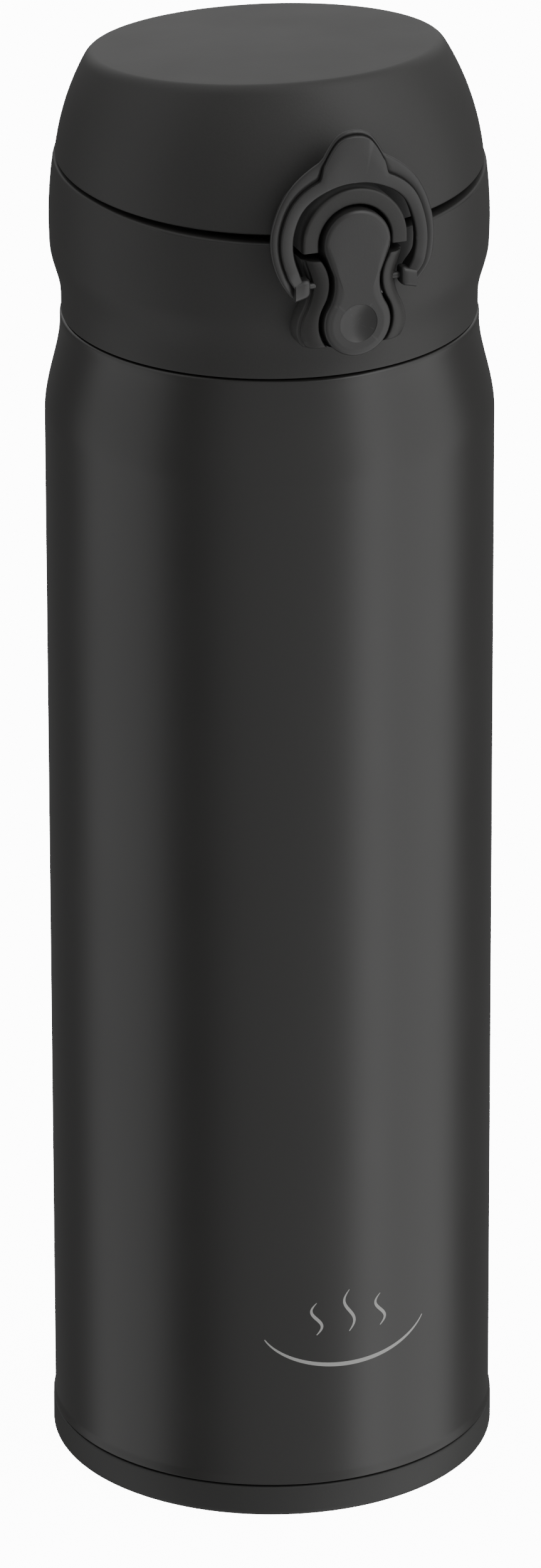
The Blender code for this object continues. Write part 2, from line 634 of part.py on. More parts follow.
def make_collar(plastic):
    blank_top = PARTING + BLANK_RISE / 3
    heights = [COLLAR_BOTTOM + (blank_top - COLLAR_BOTTOM) * i / 10 for i in range(10, -1, -1)]
    skirt = BORE_RADIUS + SKIRT_WALL
    profile = [(0.0, DECK_TOP), (UPPER_WALL_INNER, DECK_TOP), (UPPER_WALL_INNER, blank_top)]
    profile += [(collar_band(z), z) for z in heights]
    wall_inner = COLLAR_NECK_RADIUS - COLLAR_WALL
    profile += [(wall_inner, COLLAR_BOTTOM), (wall_inner + COLLAR_INNER_TAPER, DECK_BOTTOM)]
    skirt_low = COLLAR_BOTTOM + SKIRT_LIFT
    profile += [(skirt, DECK_BOTTOM), (skirt, skirt_low)]
    profile += [(BORE_RADIUS, skirt_low), (BORE_RADIUS, DECK_BOTTOM), (0.0, DECK_BOTTOM)]
    collar = turned("collar", profile, plastic, loop=False)
    thread_low = LEDGE + THREAD_LOW + THREAD_PITCH / 2
    join(collar, helix_thread("collar_thread", BORE_RADIUS, False, thread_low, GUIDES))
    cheeks = plate("cheek_blank", cheek_outline(), COLLAR_NECK_RADIUS - COLLAR_WALL / 2, CHEEK_FACE,
                   where=GUIDES)
    join(collar, cheeks)
    pocket = plate("button_pocket", button_outline(BUTTON_PRESS_GAP), skirt + GAP, CHEEK_FACE + OVERCUT,
                   where=GUIDES)
    lower = parting_cutter("collar_edge", PARTING - PARTING_GAP, PARTING_SLOPE)
    finger = parting_cutter("finger_gap", PARTING - FINGER_GAP, COLLAR_EDGE_SLOPE)
    knuckle_room = cross_rod("lid_knuckle_room", KNUCKLE_RADIUS + KNUCKLE_CLEAR,
                             LID_KNUCKLE_HALF + KNUCKLE_SIDE, HINGE_REACH, HINGE_HEIGHT, where=GUIDES)
    arch_half = ARCH_INNER + ARCH_WIDTH + MOVE_GAP
    arch_room = block("arch_room", (-arch_half, -CHEEK_FACE - OVERCUT, LEDGE + CHEEK_TOP - CHEEK_TRIM),
                      (arch_half, -UPPER_WALL_INNER + ARCH_ROOM_DEPTH, LEDGE + CHEEK_TOP + ARCH_ROOM_RISE),
                      GUIDES)
    cut(collar, lower, finger, pocket, knuckle_room, arch_room)
    ear_inner = LID_KNUCKLE_HALF + GAP
    half = (EAR_HALF - ear_inner) / 2
    for side in (-1, 1):
        middle = side * (ear_inner + half)
        slim = half - WEB_SLIM
        knuckle = cross_rod("ear", KNUCKLE_RADIUS, half, HINGE_REACH, HINGE_HEIGHT, where=GUIDES,
                            middle=middle)
        web = block("ear_web", (middle - slim, -HINGE_REACH - EAR_WEB_INNER, HINGE_HEIGHT - EAR_WEB_DROP),
                    (middle + slim, -HINGE_REACH + EAR_WEB_OUTER, HINGE_HEIGHT + EAR_WEB_TOP), GUIDES)
        join(collar, web, knuckle)
    hinge_hole = cross_rod("hinge_hole", HINGE_PIN_RADIUS + GAP, EAR_HALF - EAR_CAP, HINGE_REACH,
                           HINGE_HEIGHT, where=GUIDES)
    button_hole = cross_rod("button_pin_hole", BUTTON_PIN_RADIUS + GAP, BUTTON_PIN_HALF + GAP,
                            button_pin_reach(), button_pin_height(), where=GUIDES)
    cut(collar, hinge_hole, button_hole)
    depth = RING_PIN_DEPTH + GAP
    for side in (-1, 1):
        hole = cross_rod("ring_pin_hole", RING_PIN_RADIUS + GAP, (depth + OVERCUT) / 2, RING_PIVOT_REACH,
                         ring_pivot_height(), where=GUIDES,
                         middle=side * (CHEEK_WAIST_HALF + (OVERCUT - depth) / 2))
        cut(collar, hole)
    spout_hole = deck_hole("spout_hole", SPOUT_RADIUS + GAP, SPOUT_REACH, INNER_STEPS)
    vent = deck_hole("air_vent", VENT_RADIUS, VENT_REACH, VENT_STEPS)
    cut(collar, spout_hole, vent)
    return collar


def cheek_outline():
    """Both cheeks in one outline: a shoulder, a waist for the ring's pivots and a flared foot."""
    top = LEDGE + CHEEK_TOP
    pivot_height = ring_pivot_height()
    room = RING_FACE - RING_PIVOT_REACH + MOVE_GAP
    half = [(CHEEK_TOP_HALF, top), (CHEEK_TOP_HALF, top - CHEEK_SHOULDER)]
    half += [(CHEEK_WAIST_HALF, pivot_height + room), (CHEEK_WAIST_HALF, pivot_height - room)]
    low = LEDGE + CHEEK_LOW_RISE
    flare = (CHEEK_WAIST_HALF + CHEEK_LOW_HALF) / 2 + CHEEK_FLARE_BOW
    half += [(flare, low + CHEEK_FLARE), (CHEEK_LOW_HALF, low)]
    half += [(CHEEK_LOW_HALF - CHEEK_FOOT_INSET, low - CHEEK_FOOT_TURN)]
    half += [(CHEEK_FOOT_HALF, low - CHEEK_FOOT_DROP)]
    return mirrored(half[::-1])


def make_stopper_gasket(rubber):
    low = LIP_TOP + GAP
    high = low + GASKET_THICK
    inner = NECK_RADIUS - STEEL_WALL - GAP - STEEL_WALL
    outer = BORE_RADIUS - GAP
    return turned("stopper_gasket", [(outer, high), (outer, low), (inner, low), (inner, high)], rubber,
                  steps=INNER_STEPS)


def make_spout(plastic):
    top = DECK_TOP + SPOUT_RISE
    low = DECK_BOTTOM
    flange_low = DECK_TOP + GAP + SPOUT_SEAL_THICK + GAP
    flange_top = flange_low + FLANGE_THICK
    inner = SPOUT_RADIUS - SPOUT_WALL
    lip = SPOUT_WALL / 2
    profile = arc((SPOUT_RADIUS - lip, top - lip), lip, 90, 0, 3)
    profile += [(SPOUT_RADIUS, flange_top), (FLANGE_RADIUS, flange_top), (FLANGE_RADIUS, flange_low)]
    profile += [(SPOUT_RADIUS, flange_low), (SPOUT_RADIUS, low), (inner, low)]
    profile += arc((inner + lip, top - lip), lip, 180, 90, 3)[:-1]
    return turned("spout", profile, plastic, steps=28, centre=(0.0, -SPOUT_REACH))


def make_spout_seal(rubber):
    low = DECK_TOP + GAP
    high = low + SPOUT_SEAL_THICK
    inner = SPOUT_RADIUS + GAP
    outer = FLANGE_RADIUS - GAP
    return turned("spout_seal", [(outer, high), (outer, low), (inner, low), (inner, high)], rubber,
                  steps=28, centre=(0.0, -SPOUT_REACH))


# --- lid --------------------------------------------------------------------------------------------
def lid_profile(inset, top):
    """The bowed wall of the lid, moved in by inset, and closed at a flat top and bottom."""
    low = PARTING - LID_BOW_DROP
    bow = LID_BOW - inset
    wall = []
    for i in range(9):
        rise = (top - low) * (8 - i) / 8
        wall.append((LID_RADIUS - LID_BOW + math.sqrt(bow ** 2 - rise ** 2), low + rise))
    return [(0.0, top)] + wall + [(0.0, low)]


def make_lid_shell(plastic):
    blank_top = PARTING + BLANK_RISE
    lid = turned("lid_shell", lid_profile(0.0, blank_top), plastic, loop=False)
    top = PARTING + LID_HEIGHT
    above = parting_cutter("lid_top_cut", top, -LID_TOP_SLOPE)
    hollow = turned("lid_hollow", lid_profile(LID_WALL, blank_top), where=GUIDES, loop=False)
    inner_top = parting_cutter("lid_hollow_top", top - LID_WALL, -LID_TOP_SLOPE)
    cut(hollow, inner_top)
    below = parting_cutter("lid_edge_cut", PARTING, PARTING_SLOPE, under=True)
    ear_room = cross_rod("ear_room", KNUCKLE_RADIUS + KNUCKLE_CLEAR, EAR_HALF + MOVE_GAP, HINGE_REACH,
                         HINGE_HEIGHT, where=GUIDES)
    cut(lid, above, hollow, below, ear_room)
    join(lid, plate("arch_blank", arch_outline(), arch_root(), ARCH_FACE, where=GUIDES))
    slim = LID_KNUCKLE_HALF - WEB_SLIM
    web = block("lid_web", (-slim, -HINGE_REACH - LID_WEB_INNER, HINGE_HEIGHT + LID_WEB_LOW),
                (slim, -HINGE_REACH + LID_WEB_OUTER, HINGE_HEIGHT + LID_WEB_TOP), GUIDES)
    knuckle = cross_rod("lid_knuckle", KNUCKLE_RADIUS, LID_KNUCKLE_HALF, HINGE_REACH, HINGE_HEIGHT,
                        where=GUIDES)
    join(lid, web, knuckle)
    hole = cross_rod("lid_pin_hole", HINGE_PIN_RADIUS + GAP, EAR_HALF, HINGE_REACH, HINGE_HEIGHT,
                     where=GUIDES)
    pocket = cross_rod("hinge_spring_room", KNUCKLE_RADIUS + KNUCKLE_CLEAR, SPRING_POCKET_HALF, HINGE_REACH,
                       HINGE_HEIGHT, where=GUIDES)
    hook_top = button_pin_height() + HOOK_RISE + HOOK_HEIGHT + HOOK_CLEAR
    half = HOOK_HALF_WIDTH + MOVE_GAP
    notch = block("hook_notch", (-half, -ARCH_FACE + OVERCUT, PARTING - HOOK_NOTCH_DROP),
                  (half, -UPPER_WALL_INNER + HOOK_NOTCH_DEPTH, hook_top), GUIDES)
    cut(lid, hole, pocket, notch)
    return lid


def arch_root():
    """The arch starts inside the lid's wall at its highest point."""
    rise = BUTTON_LOW + BUTTON_SPACING + ARCH_INNER + ARCH_WIDTH - (PARTING - LID_BOW_DROP)
    return LID_RADIUS - LID_BOW + math.sqrt(LID_BOW ** 2 - rise ** 2) - ARCH_ROOT


def arch_outline():
    """A horseshoe that is concentric with the button's upper end and open below."""
    centre = (0.0, BUTTON_LOW + BUTTON_SPACING)
    leg = centre[1] - ARCH_LEG
    outer = arc(centre, ARCH_INNER + ARCH_WIDTH, 0, 180)
    inner = arc(centre, ARCH_INNER, 180, 0)
    ends = [(-ARCH_INNER - ARCH_WIDTH, leg), (-ARCH_INNER, leg)]
    return outer + ends + inner + [(ARCH_INNER, leg), (ARCH_INNER + ARCH_WIDTH, leg)]


def liner_bottom():
    return DECK_TOP + SPOUT_RISE + GAP + LID_GASKET_THICK + GAP


def make_lid_gasket(rubber):
    low = DECK_TOP + SPOUT_RISE + GAP
    high = low + LID_GASKET_THICK
    profile = [(0.0, high), (LID_GASKET_RADIUS, high), (LID_GASKET_RADIUS, low), (0.0, low)]
    return turned("lid_gasket", profile, rubber, steps=28, loop=False, centre=(0.0, -SPOUT_REACH))


def make_lid_liner(plastic):
    low = liner_bottom()
    high = low + LINER_THICK
    rise = high - (PARTING - LID_BOW_DROP)
    edge = LID_RADIUS - LID_BOW + math.sqrt((LID_BOW - LID_WALL) ** 2 - rise ** 2) - LINER_EDGE_GAP
    liner = turned("lid_liner", [(0.0, high), (edge, high), (edge, low), (0.0, low)], plastic, loop=False)
    inner = LID_GASKET_RADIUS + GAP
    outer = inner + LINER_RING_WALL
    drop = low - LINER_RING_DROP
    ring = turned("liner_ring", [(outer, low + LINER_THICK / 2), (outer, drop), (inner, drop),
                                 (inner, low + LINER_THICK / 2)],
                  where=GUIDES, steps=28, centre=(0.0, -SPOUT_REACH))
    join(liner, ring)
    return liner


# --- hinge --------------------------------------------------------------------------------------------
def make_hinge_pin(metal):
    return cross_rod("hinge_pin", HINGE_PIN_RADIUS, EAR_HALF - EAR_CAP - GAP, HINGE_REACH, HINGE_HEIGHT,
                     metal)


def make_hinge_spring(metal):
    half = SPRING_POCKET_HALF - GAP - HINGE_SPRING_WIRE
    count = HINGE_SPRING_TURNS * HINGE_SPRING_TURN_STEPS
    points = []
    for i in range(count + 1):
        angle = 2 * math.pi * i / HINGE_SPRING_TURN_STEPS
        points.append((-half + 2 * half * i / count,
                       -HINGE_REACH + HINGE_SPRING_RADIUS * math.cos(angle),
                       HINGE_HEIGHT + HINGE_SPRING_RADIUS * math.sin(angle)))
    return wire("hinge_spring", points, HINGE_SPRING_WIRE, metal)


# --- push button ----------------------------------------------------------------------------------------
def button_pin_height():
    return BUTTON_LOW + BUTTON_PIN_RISE


def button_pin_reach():
    return BUTTON_FACE - BUTTON_PIN_BACKSET


def make_push_button(plastic):
    button = plate("push_button", button_outline(), BUTTON_BACK, BUTTON_FACE, plastic)
    ball = (DIMPLE_RADIUS ** 2 + DIMPLE_DEPTH ** 2) / (2 * DIMPLE_DEPTH)
    mesh = bpy.data.meshes.new("dimple_ball")
    work = bmesh.new()
    bmesh.ops.create_uvsphere(work, u_segments=48, v_segments=24, radius=ball)
    work.to_mesh(mesh)
    work.free()
    dimple = link(bpy.data.objects.new("dimple_ball", mesh), GUIDES, None)
    dimple.rotation_euler = (math.pi / 2, 0.0, 0.0)
    dimple.location = (0.0, -BUTTON_FACE + DIMPLE_DEPTH - ball, BUTTON_LOW)
    hole = cross_rod("button_bore", BUTTON_PIN_RADIUS + BUTTON_PIN_RUN, BUTTON_PIN_HALF + OVERCUT,
                     button_pin_reach(), button_pin_height(), where=GUIDES)
    low = button_pin_height() + HOOK_RISE
    hook = block("button_hook", (-HOOK_HALF_WIDTH, -BUTTON_BACK - HOOK_ROOT, low),
                 (HOOK_HALF_WIDTH, -BUTTON_BACK + HOOK_REACH, low + HOOK_HEIGHT), GUIDES)
    join(button, hook)
    cut(button, dimple, hole)
    return button


def make_button_pin(metal):
    return cross_rod("button_pin", BUTTON_PIN_RADIUS, BUTTON_PIN_HALF, button_pin_reach(),
                     button_pin_height(), metal)


def make_button_spring(metal):
    back = BORE_RADIUS + SKIRT_WALL + GAP + BUTTON_SPRING_WIRE
    arm = BUTTON_PIN_RISE + BUTTON_SPRING_DROP + BUTTON_SPRING_RADIUS
    press = arm * math.sin(BUTTON_TRAVEL)
    front = BUTTON_BACK - press - GAP - BUTTON_SPRING_WIRE
    steps = BUTTON_SPRING_TURNS * SPRING_TURN_STEPS
    points = []
    for i in range(steps + 1):
        angle = 2 * math.pi * i / SPRING_TURN_STEPS
        points.append((BUTTON_SPRING_RADIUS * math.cos(angle), -(back + (front - back) * i / steps),
                       BUTTON_LOW - BUTTON_SPRING_DROP + BUTTON_SPRING_RADIUS * math.sin(angle)))
    return wire("button_spring", points, BUTTON_SPRING_WIRE, metal)


# --- lock ring --------------------------------------------------------------------------------------------
def ring_pivot_height():
    return LEDGE + RING_CENTRE - RING_PIVOT_DROP


def ring_outer_edge(radius, start, end, steps):
    """An arc of the ring's outer edge, which is centred a little above the inner edge."""
    return arc((0.0, LEDGE + RING_CENTRE + RING_OUTER_RISE), radius, start, end, steps)


def below_level(drop, radius):
    """The angle in degrees at which an arc is this far under its centre."""
    return -math.degrees(math.asin(drop / radius))


def ring_outline():
    """The ring's whole outline: right side up to the thumb tab, left side down, then back inside."""
    centre = LEDGE + RING_CENTRE
    pivot_height = ring_pivot_height()
    start = below_level(RING_END_DROP + RING_OUTER_RISE, RING_OUTER)
    tab = math.degrees(math.acos(TAB_HALF / RING_OUTER))
    crest = centre + RING_OUTER_RISE + RING_OUTER
    outer = ring_outer_edge(RING_OUTER, start, tab, 16)
    outer += [(TAB_HALF - TAB_SHOULDER, crest + TAB_SHOULDER_RISE)]
    outer += arc((0.0, crest + TAB_RISE - TAB_CROWN), TAB_CROWN, TAB_CROWN_START, 90, 6)
    stub_top = pivot_height + RING_STUB_ABOVE
    inner = arc((0.0, centre), RING_INNER, 90, below_level(centre - stub_top, RING_INNER), 18)
    tip = CHEEK_WAIST_HALF + GAP
    inner += [(tip, stub_top), (tip, pivot_height - RING_STUB_BELOW)]
    inner += [(RING_HOOK_HALF, centre - RING_END_DROP)]
    left_outer = [(-x, z) for x, z in reversed(outer) if x > MERGE]
    left_inner = [(-x, z) for x, z in reversed(inner)]
    return outer + left_outer + left_inner + [p for p in inner if p[0] > MERGE]


def rail_outline():
    """One thick side of the ring, outside the arch's path, down to the pivot."""
    centre = LEDGE + RING_CENTRE
    pivot_height = ring_pivot_height()
    outer_radius = RING_OUTER - RAIL_INSET
    inner_radius = RING_INNER + RAIL_INSET
    low = RING_END_DROP - RAIL_INSET
    end = math.degrees(math.acos((RAIL_INNER + RAIL_END) / outer_radius))
    outer = ring_outer_edge(outer_radius, below_level(low + RING_OUTER_RISE, outer_radius), end, 14)
    stub_top = pivot_height + RING_STUB_ABOVE - RAIL_INSET
    inner_start = math.degrees(math.acos(RAIL_INNER / inner_radius))
    inner = arc((0.0, centre), inner_radius, inner_start, below_level(centre - stub_top, inner_radius), 10)
    tip = CHEEK_WAIST_HALF + GAP + RAIL_INSET / 2
    hook = [(tip, stub_top), (tip, pivot_height - RING_STUB_BELOW + RAIL_INSET)]
    hook += [(RING_HOOK_HALF, centre - low)]
    return outer + inner + hook


def make_lock_ring(plastic):
    ring = plate("lock_ring", ring_outline(), RING_BACK, RING_FACE, plastic)
    half_pin = (RING_PIN_DEPTH + GAP + OVERCUT) / 2
    for side in (-1, 1):
        rail = [(side * x, z) for x, z in rail_outline()]
        if side < 0:
            rail.reverse()
        rail_blank = plate("rail_blank", rail, RAIL_BACK, RING_BACK + GAP, where=GUIDES)
        pin = cross_rod("ring_pin", RING_PIN_RADIUS, half_pin, RING_PIVOT_REACH, ring_pivot_height(),
                        where=GUIDES, middle=side * (CHEEK_WAIST_HALF - RING_PIN_DEPTH + half_pin))
        join(ring, rail_blank, pin)
    return ring


# --- assembly -----------------------------------------------------------------------------------------------
def build():
    paint = black_paint()
    plastic = black_plastic()
    lock = lock_plastic()
    metal = steel()
    pins = pin_steel()
    rubber = silicone()
    pale = white_plastic()

    make_outer_shell(paint)
    make_inner_vessel(metal)
    make_radiation_foil(foil_metal())
    make_base_plate(metal)
    make_getter(pins)
    make_vacuum_seal(pins)
    make_base_cap(plastic)

    screw_axis = pivot("stopper_turn", (0.0, 0.0, COLLAR_BOTTOM))
    mount_on(screw_axis, make_stopper_gasket(rubber), make_collar(plastic), make_spout(pale),
             make_spout_seal(rubber), make_hinge_pin(pins), make_hinge_spring(pins),
             make_button_pin(pins), make_button_spring(pins))

    hinge_axis = pivot("lid_hinge", (0.0, -HINGE_REACH, HINGE_HEIGHT))
    mount_on(hinge_axis, make_lid_shell(plastic), make_lid_liner(pale), make_lid_gasket(rubber))

    button_axis = pivot("button_press", (0.0, -button_pin_reach(), button_pin_height()))
    mount_on(button_axis, make_push_button(lock))

    ring_axis = pivot("ring_swing", (0.0, -RING_PIVOT_REACH, ring_pivot_height()))
    mount_on(ring_axis, make_lock_ring(lock))


build()
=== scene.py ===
"""Looks of a vacuum flask with a flip lid, a rocker button and a swinging lock ring.

Metres, +Z up, front toward -Y. "Across" is +X, "reach" is a distance forward of the axis (-Y).
Every new surface is a grid of points worked out with numpy, welded into closed shells.
"""

import math

import bmesh
import bpy
import numpy as np
from mathutils import Matrix, Vector


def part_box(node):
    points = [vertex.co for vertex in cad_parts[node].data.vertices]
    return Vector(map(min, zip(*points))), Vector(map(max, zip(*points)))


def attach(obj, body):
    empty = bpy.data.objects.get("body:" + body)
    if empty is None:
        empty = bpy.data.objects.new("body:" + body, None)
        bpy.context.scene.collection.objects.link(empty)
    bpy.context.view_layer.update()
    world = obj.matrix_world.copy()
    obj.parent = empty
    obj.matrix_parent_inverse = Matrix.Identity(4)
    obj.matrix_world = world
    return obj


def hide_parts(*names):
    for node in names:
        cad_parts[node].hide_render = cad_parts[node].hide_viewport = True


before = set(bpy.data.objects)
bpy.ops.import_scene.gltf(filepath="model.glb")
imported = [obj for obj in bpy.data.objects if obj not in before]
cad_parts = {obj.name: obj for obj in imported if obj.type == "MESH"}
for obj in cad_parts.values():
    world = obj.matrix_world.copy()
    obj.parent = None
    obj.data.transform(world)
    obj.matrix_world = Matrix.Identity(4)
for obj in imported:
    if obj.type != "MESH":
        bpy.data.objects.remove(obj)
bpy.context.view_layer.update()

MM = 0.001

# --- sizes taken from the frame -------------------------------------------------------------------
CAP_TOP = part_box("base_cap")[1].z
CAP_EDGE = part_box("base_cap")[1].x
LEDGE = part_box("collar")[0].z - 0.3 * MM
NECK_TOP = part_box("outer_shell")[1].z
SPOUT_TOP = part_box("spout")[1].z
SPOUT_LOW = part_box("spout")[0].z
SPOUT_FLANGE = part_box("spout")[1].x
SPOUT_Y = (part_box("spout")[0].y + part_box("spout")[1].y) / 2
HINGE_Y = (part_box("hinge_pin")[0].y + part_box("hinge_pin")[1].y) / 2
HINGE_Z = (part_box("hinge_pin")[0].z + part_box("hinge_pin")[1].z) / 2
BUTTON_FACE = -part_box("push_button")[0].y
RING_FACE = -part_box("lock_ring")[0].y
LINER_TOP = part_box("lid_liner")[1].z
LINER_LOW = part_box("lid_liner")[0].z
LINER_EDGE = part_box("lid_liner")[1].x
SEAL_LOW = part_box("lid_gasket")[0].z
SEAL_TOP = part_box("lid_gasket")[1].z
SEAL_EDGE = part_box("lid_gasket")[1].x

# --- driving sizes of the fine shapes -------------------------------------------------------------
BODY_RADIUS = 32.5 * MM
STEEL_WALL = 0.6 * MM
BODY_LOW = CAP_TOP - 0.45 * MM
SHOULDER_RISE = 14.0 * MM
SHOULDER_TOP = LEDGE - 1.5 * MM
SHOULDER_STEP = 2.3 * MM
NECK_RADIUS = 23.3 * MM
FOOT_FLARE = 0.3 * MM
THREAD_PITCH = 5.0 * MM
THREAD_TURNS = 1.25
THREAD_LOW = 3.2 * MM

COLLAR_LOW = LEDGE + 0.3 * MM
COLLAR_NECK = 30.0 * MM
COLLAR_BAND = 31.65 * MM
COLLAR_BOW = 67.0 * MM
COLLAR_BAND_RISE = 13.7 * MM
COLLAR_INNER = 28.4 * MM
SKIRT_INNER = 25.2 * MM
SKIRT_OUTER = 27.0 * MM
DECK_LOW = SPOUT_LOW
DECK_TOP = DECK_LOW + 1.4 * MM
DECK_HOLE = 9.8 * MM
VENT_Y = 14.0 * MM

PARTING = LEDGE + 23.5 * MM
PARTING_SLOPE = 0.0483
COLLAR_SLOPE = 0.0818
PARTING_GAP = 0.35 * MM
LID_HEIGHT = 16.1 * MM
LID_TOP_SLOPE = 0.1075
LID_RADIUS = 30.95 * MM
LID_BOW = 38.2 * MM
LID_BOW_DROP = 4.0 * MM
LID_WALL = 2.0 * MM
LID_CREASE = 0.9 * MM

BUTTON_LOW = LEDGE + 10.0 * MM
BUTTON_SPACING = 11.8 * MM
BUTTON_ROUND = 5.0 * MM
BUTTON_WAIST = 3.4 * MM
BUTTON_BACK = BODY_RADIUS - 0.8 * MM
DIMPLE_RADIUS = 2.85 * MM
DIMPLE_DEPTH = 0.7 * MM
POCKET_GAP = 0.55 * MM

CHEEK_FACE = BODY_RADIUS + 2.4 * MM
CHEEK_TOP = LEDGE + 19.55 * MM
CHEEK_FOOT = LEDGE + 5.5 * MM
CHEEK_DEPTH = 3.6 * MM
CHEEK_FALL = 1.75 * MM
CHEEK_GROWTH = 1.6 * MM
ARCH_FACE = BODY_RADIUS + 2.1 * MM
ARCH_INNER = BUTTON_ROUND + 0.5 * MM
ARCH_OUTER = ARCH_INNER + 2.35 * MM
ARCH_Z = BUTTON_LOW + BUTTON_SPACING
ARCH_ROOM = ARCH_OUTER + 0.5 * MM
# Place and strength of the painted shade round the arch: the plastic there is darkened and dulled to stand
# in for the shade between the arch and the ring.
RECESS_EDGE = 11.4 * MM
RECESS_FADE = 1.6 * MM
RECESS_START = 0.8 * MM
RECESS_DEEP = 2.6 * MM
FRONT_LIMIT = -20.0 * MM
RECESS_DULL = 0.15

RING_Z = LEDGE + 21.05 * MM
RING_BACK = ARCH_FACE + 0.4 * MM
RAIL_BACK = BODY_RADIUS
RING_PIVOT_Z = RING_Z - 5.35 * MM
RING_LEAN = 1.75 * MM
STUB_START = 6.9 * MM
STUB_FALL = 0.25
PIVOT_RADIUS = 0.5 * MM
PIVOT_REACH = 1.1 * MM

KNUCKLE = 2.9 * MM
KNUCKLE_CLEAR = 0.45 * MM
LID_KNUCKLE_HALF = 5.2 * MM
SPRING_ROOM_HALF = 2.6 * MM
EAR_INNER = 5.5 * MM
EAR_HALF = 9.6 * MM

MARK_Z = 31.0 * MM
BOWL_HALF = 13.5 * MM
BOWL_DEPTH = 7.2 * MM

AROUND = 192
WELD = 0.8e-6


# --- mesh building --------------------------------------------------------------------------------
def sheet_part(points, wrap=False):
    """A grid of points (rows, columns, 3) as one patch of four-sided faces.

    Face (i, j) joins rows i, i+1 and columns j, j+1; with wrap the last column meets the first."""
    rows, cols = points.shape[:2]
    index = np.arange(rows * cols).reshape(rows, cols)
    if wrap:
        index = np.concatenate([index, index[:, :1]], axis=1)
    quads = np.stack([index[:-1, :-1], index[:-1, 1:], index[1:, 1:], index[1:, :-1]], axis=-1)
    return points.reshape(-1, 3), quads.reshape(-1, 4)


def loft_part(sections, cap=True):
    """Closed sections (rows, points, 3) skinned in order, each end drawn in to its own centre."""
    if cap:
        first = np.broadcast_to(sections[0].mean(axis=0), sections[0].shape)
        last = np.broadcast_to(sections[-1].mean(axis=0), sections[-1].shape)
        sections = np.concatenate([first[None], sections, last[None]])
    return sheet_part(sections, wrap=True)


def turned_part(profile, steps=AROUND, centre=(0.0, 0.0), closed=False):
    """A profile of (radius, height) turned about an upright axis: (r cos a, r sin a, z)."""
    profile = np.asarray(profile, float)
    if closed:
        profile = np.concatenate([profile, profile[:1]])
    turn = np.linspace(0, 2 * math.pi, steps, endpoint=False)
    radius = profile[:, :1]
    x = centre[0] + radius * np.cos(turn)
    y = centre[1] + radius * np.sin(turn)
    z = np.broadcast_to(profile[:, 1:], x.shape)
    return sheet_part(np.stack([x, y, z], axis=-1), wrap=True)


def mirrored_part(part):
    """The same patch on the other side of x = 0, its faces turned round."""
    points, quads = part
    return points * np.array([-1.0, 1.0, 1.0]), quads[:, ::-1]


def piece(name, parts, mat, body, slot, *replaced, sharp=32.0):
    """Weld patches into one closed mesh with outward faces, and hang it on a body."""
    offset = 0
    all_points = []
    all_quads = []
    for points, quads in parts:
        all_points.append(points)
        all_quads.append(quads + offset)
        offset += len(points)
    points = np.concatenate(all_points)
    quads = np.concatenate(all_quads)
    mesh = bpy.data.meshes.new(name)
    mesh.vertices.add(len(points))
    mesh.vertices.foreach_set("co", points.ravel())
    mesh.loops.add(quads.size)
    mesh.loops.foreach_set("vertex_index", quads.ravel().astype(np.int32))
    mesh.polygons.add(len(quads))
    mesh.polygons.foreach_set("loop_start", np.arange(0, quads.size, 4, dtype=np.int32))
    mesh.update(calc_edges=True)
    work = bmesh.new()
    work.from_mesh(mesh)
    bmesh.ops.remove_doubles(work, verts=work.verts, dist=WELD)
    bmesh.ops.dissolve_degenerate(work, edges=work.edges, dist=WELD)
    bmesh.ops.recalc_face_normals(work, faces=work.faces)
    work.to_mesh(mesh)
    work.free()
    mesh.validate()
    mesh.shade_smooth()
    mesh.set_sharp_from_angle(angle=math.radians(sharp))
    obj = bpy.data.objects.new(name, mesh)
    bpy.context.scene.collection.objects.link(obj)
    mesh.materials.append(mat)
    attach(obj, body)
    if replaced:
        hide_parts(*replaced)
    return obj


def ease(t):
    """Smooth step: 3t^2 - 2t^3 between 0 and 1."""
    t = np.clip(t, 0.0, 1.0)
    return t * t * (3 - 2 * t)


def smooth_curve(knots, values, at):
    """A curve through knots: each span is a cubic whose slopes are the mean of its neighbours."""
    slope = np.gradient(values, knots)
    i = np.clip(np.searchsorted(knots, at) - 1, 0, len(knots) - 2)
    span = knots[i + 1] - knots[i]
    t = np.clip((at - knots[i]) / span, 0, 1)
    return ((2 * t**3 - 3 * t**2 + 1) * values[i] + (t**3 - 2 * t**2 + t) * span * slope[i]
            + (3 * t**2 - 2 * t**3) * values[i + 1] + (t**3 - t**2) * span * slope[i + 1])


def arc_points(centre_r, centre_z, radius, start, end, count):
    """Points along an arc in the (radius, height) plane, angles in degrees."""
    turn = np.radians(np.linspace(start, end, count))
    return np.stack([centre_r + radius * np.cos(turn), centre_z + radius * np.sin(turn)], axis=-1)


def rounded_box(low, high, corner, count=5):
    """A closed loop of points round a rectangle whose corners are quarter circles."""
    x0, z0 = low
    x1, z1 = high
    loops = [arc_points(x1 - corner, z0 + corner, corner, -90, 0, count),
             arc_points(x1 - corner, z1 - corner, corner, 0, 90, count),
             arc_points(x0 + corner, z1 - corner, corner, 90, 180, count),
             arc_points(x0 + corner, z0 + corner, corner, 180, 270, count)]
    return np.concatenate(loops)


def rod_part(x_low, x_high, radius, y, z, edge, count=48):
    """A round rod along X: circles whose radius falls by a quarter circle at both ends."""
    turn = np.radians(np.linspace(0, 90, 5))
    along = np.concatenate([x_low + edge * (1 - np.sin(turn))[::-1], x_high - edge * (1 - np.sin(turn))])
    size = np.concatenate([radius - edge * (1 - np.cos(turn))[::-1], radius - edge * (1 - np.cos(turn))])
    angle = np.linspace(0, 2 * math.pi, count, endpoint=False)
    points = np.stack([np.broadcast_to(along[:, None], (len(along), count)),
                       y + size[:, None] * np.cos(angle), z + size[:, None] * np.sin(angle)], axis=-1)
    return loft_part(points)


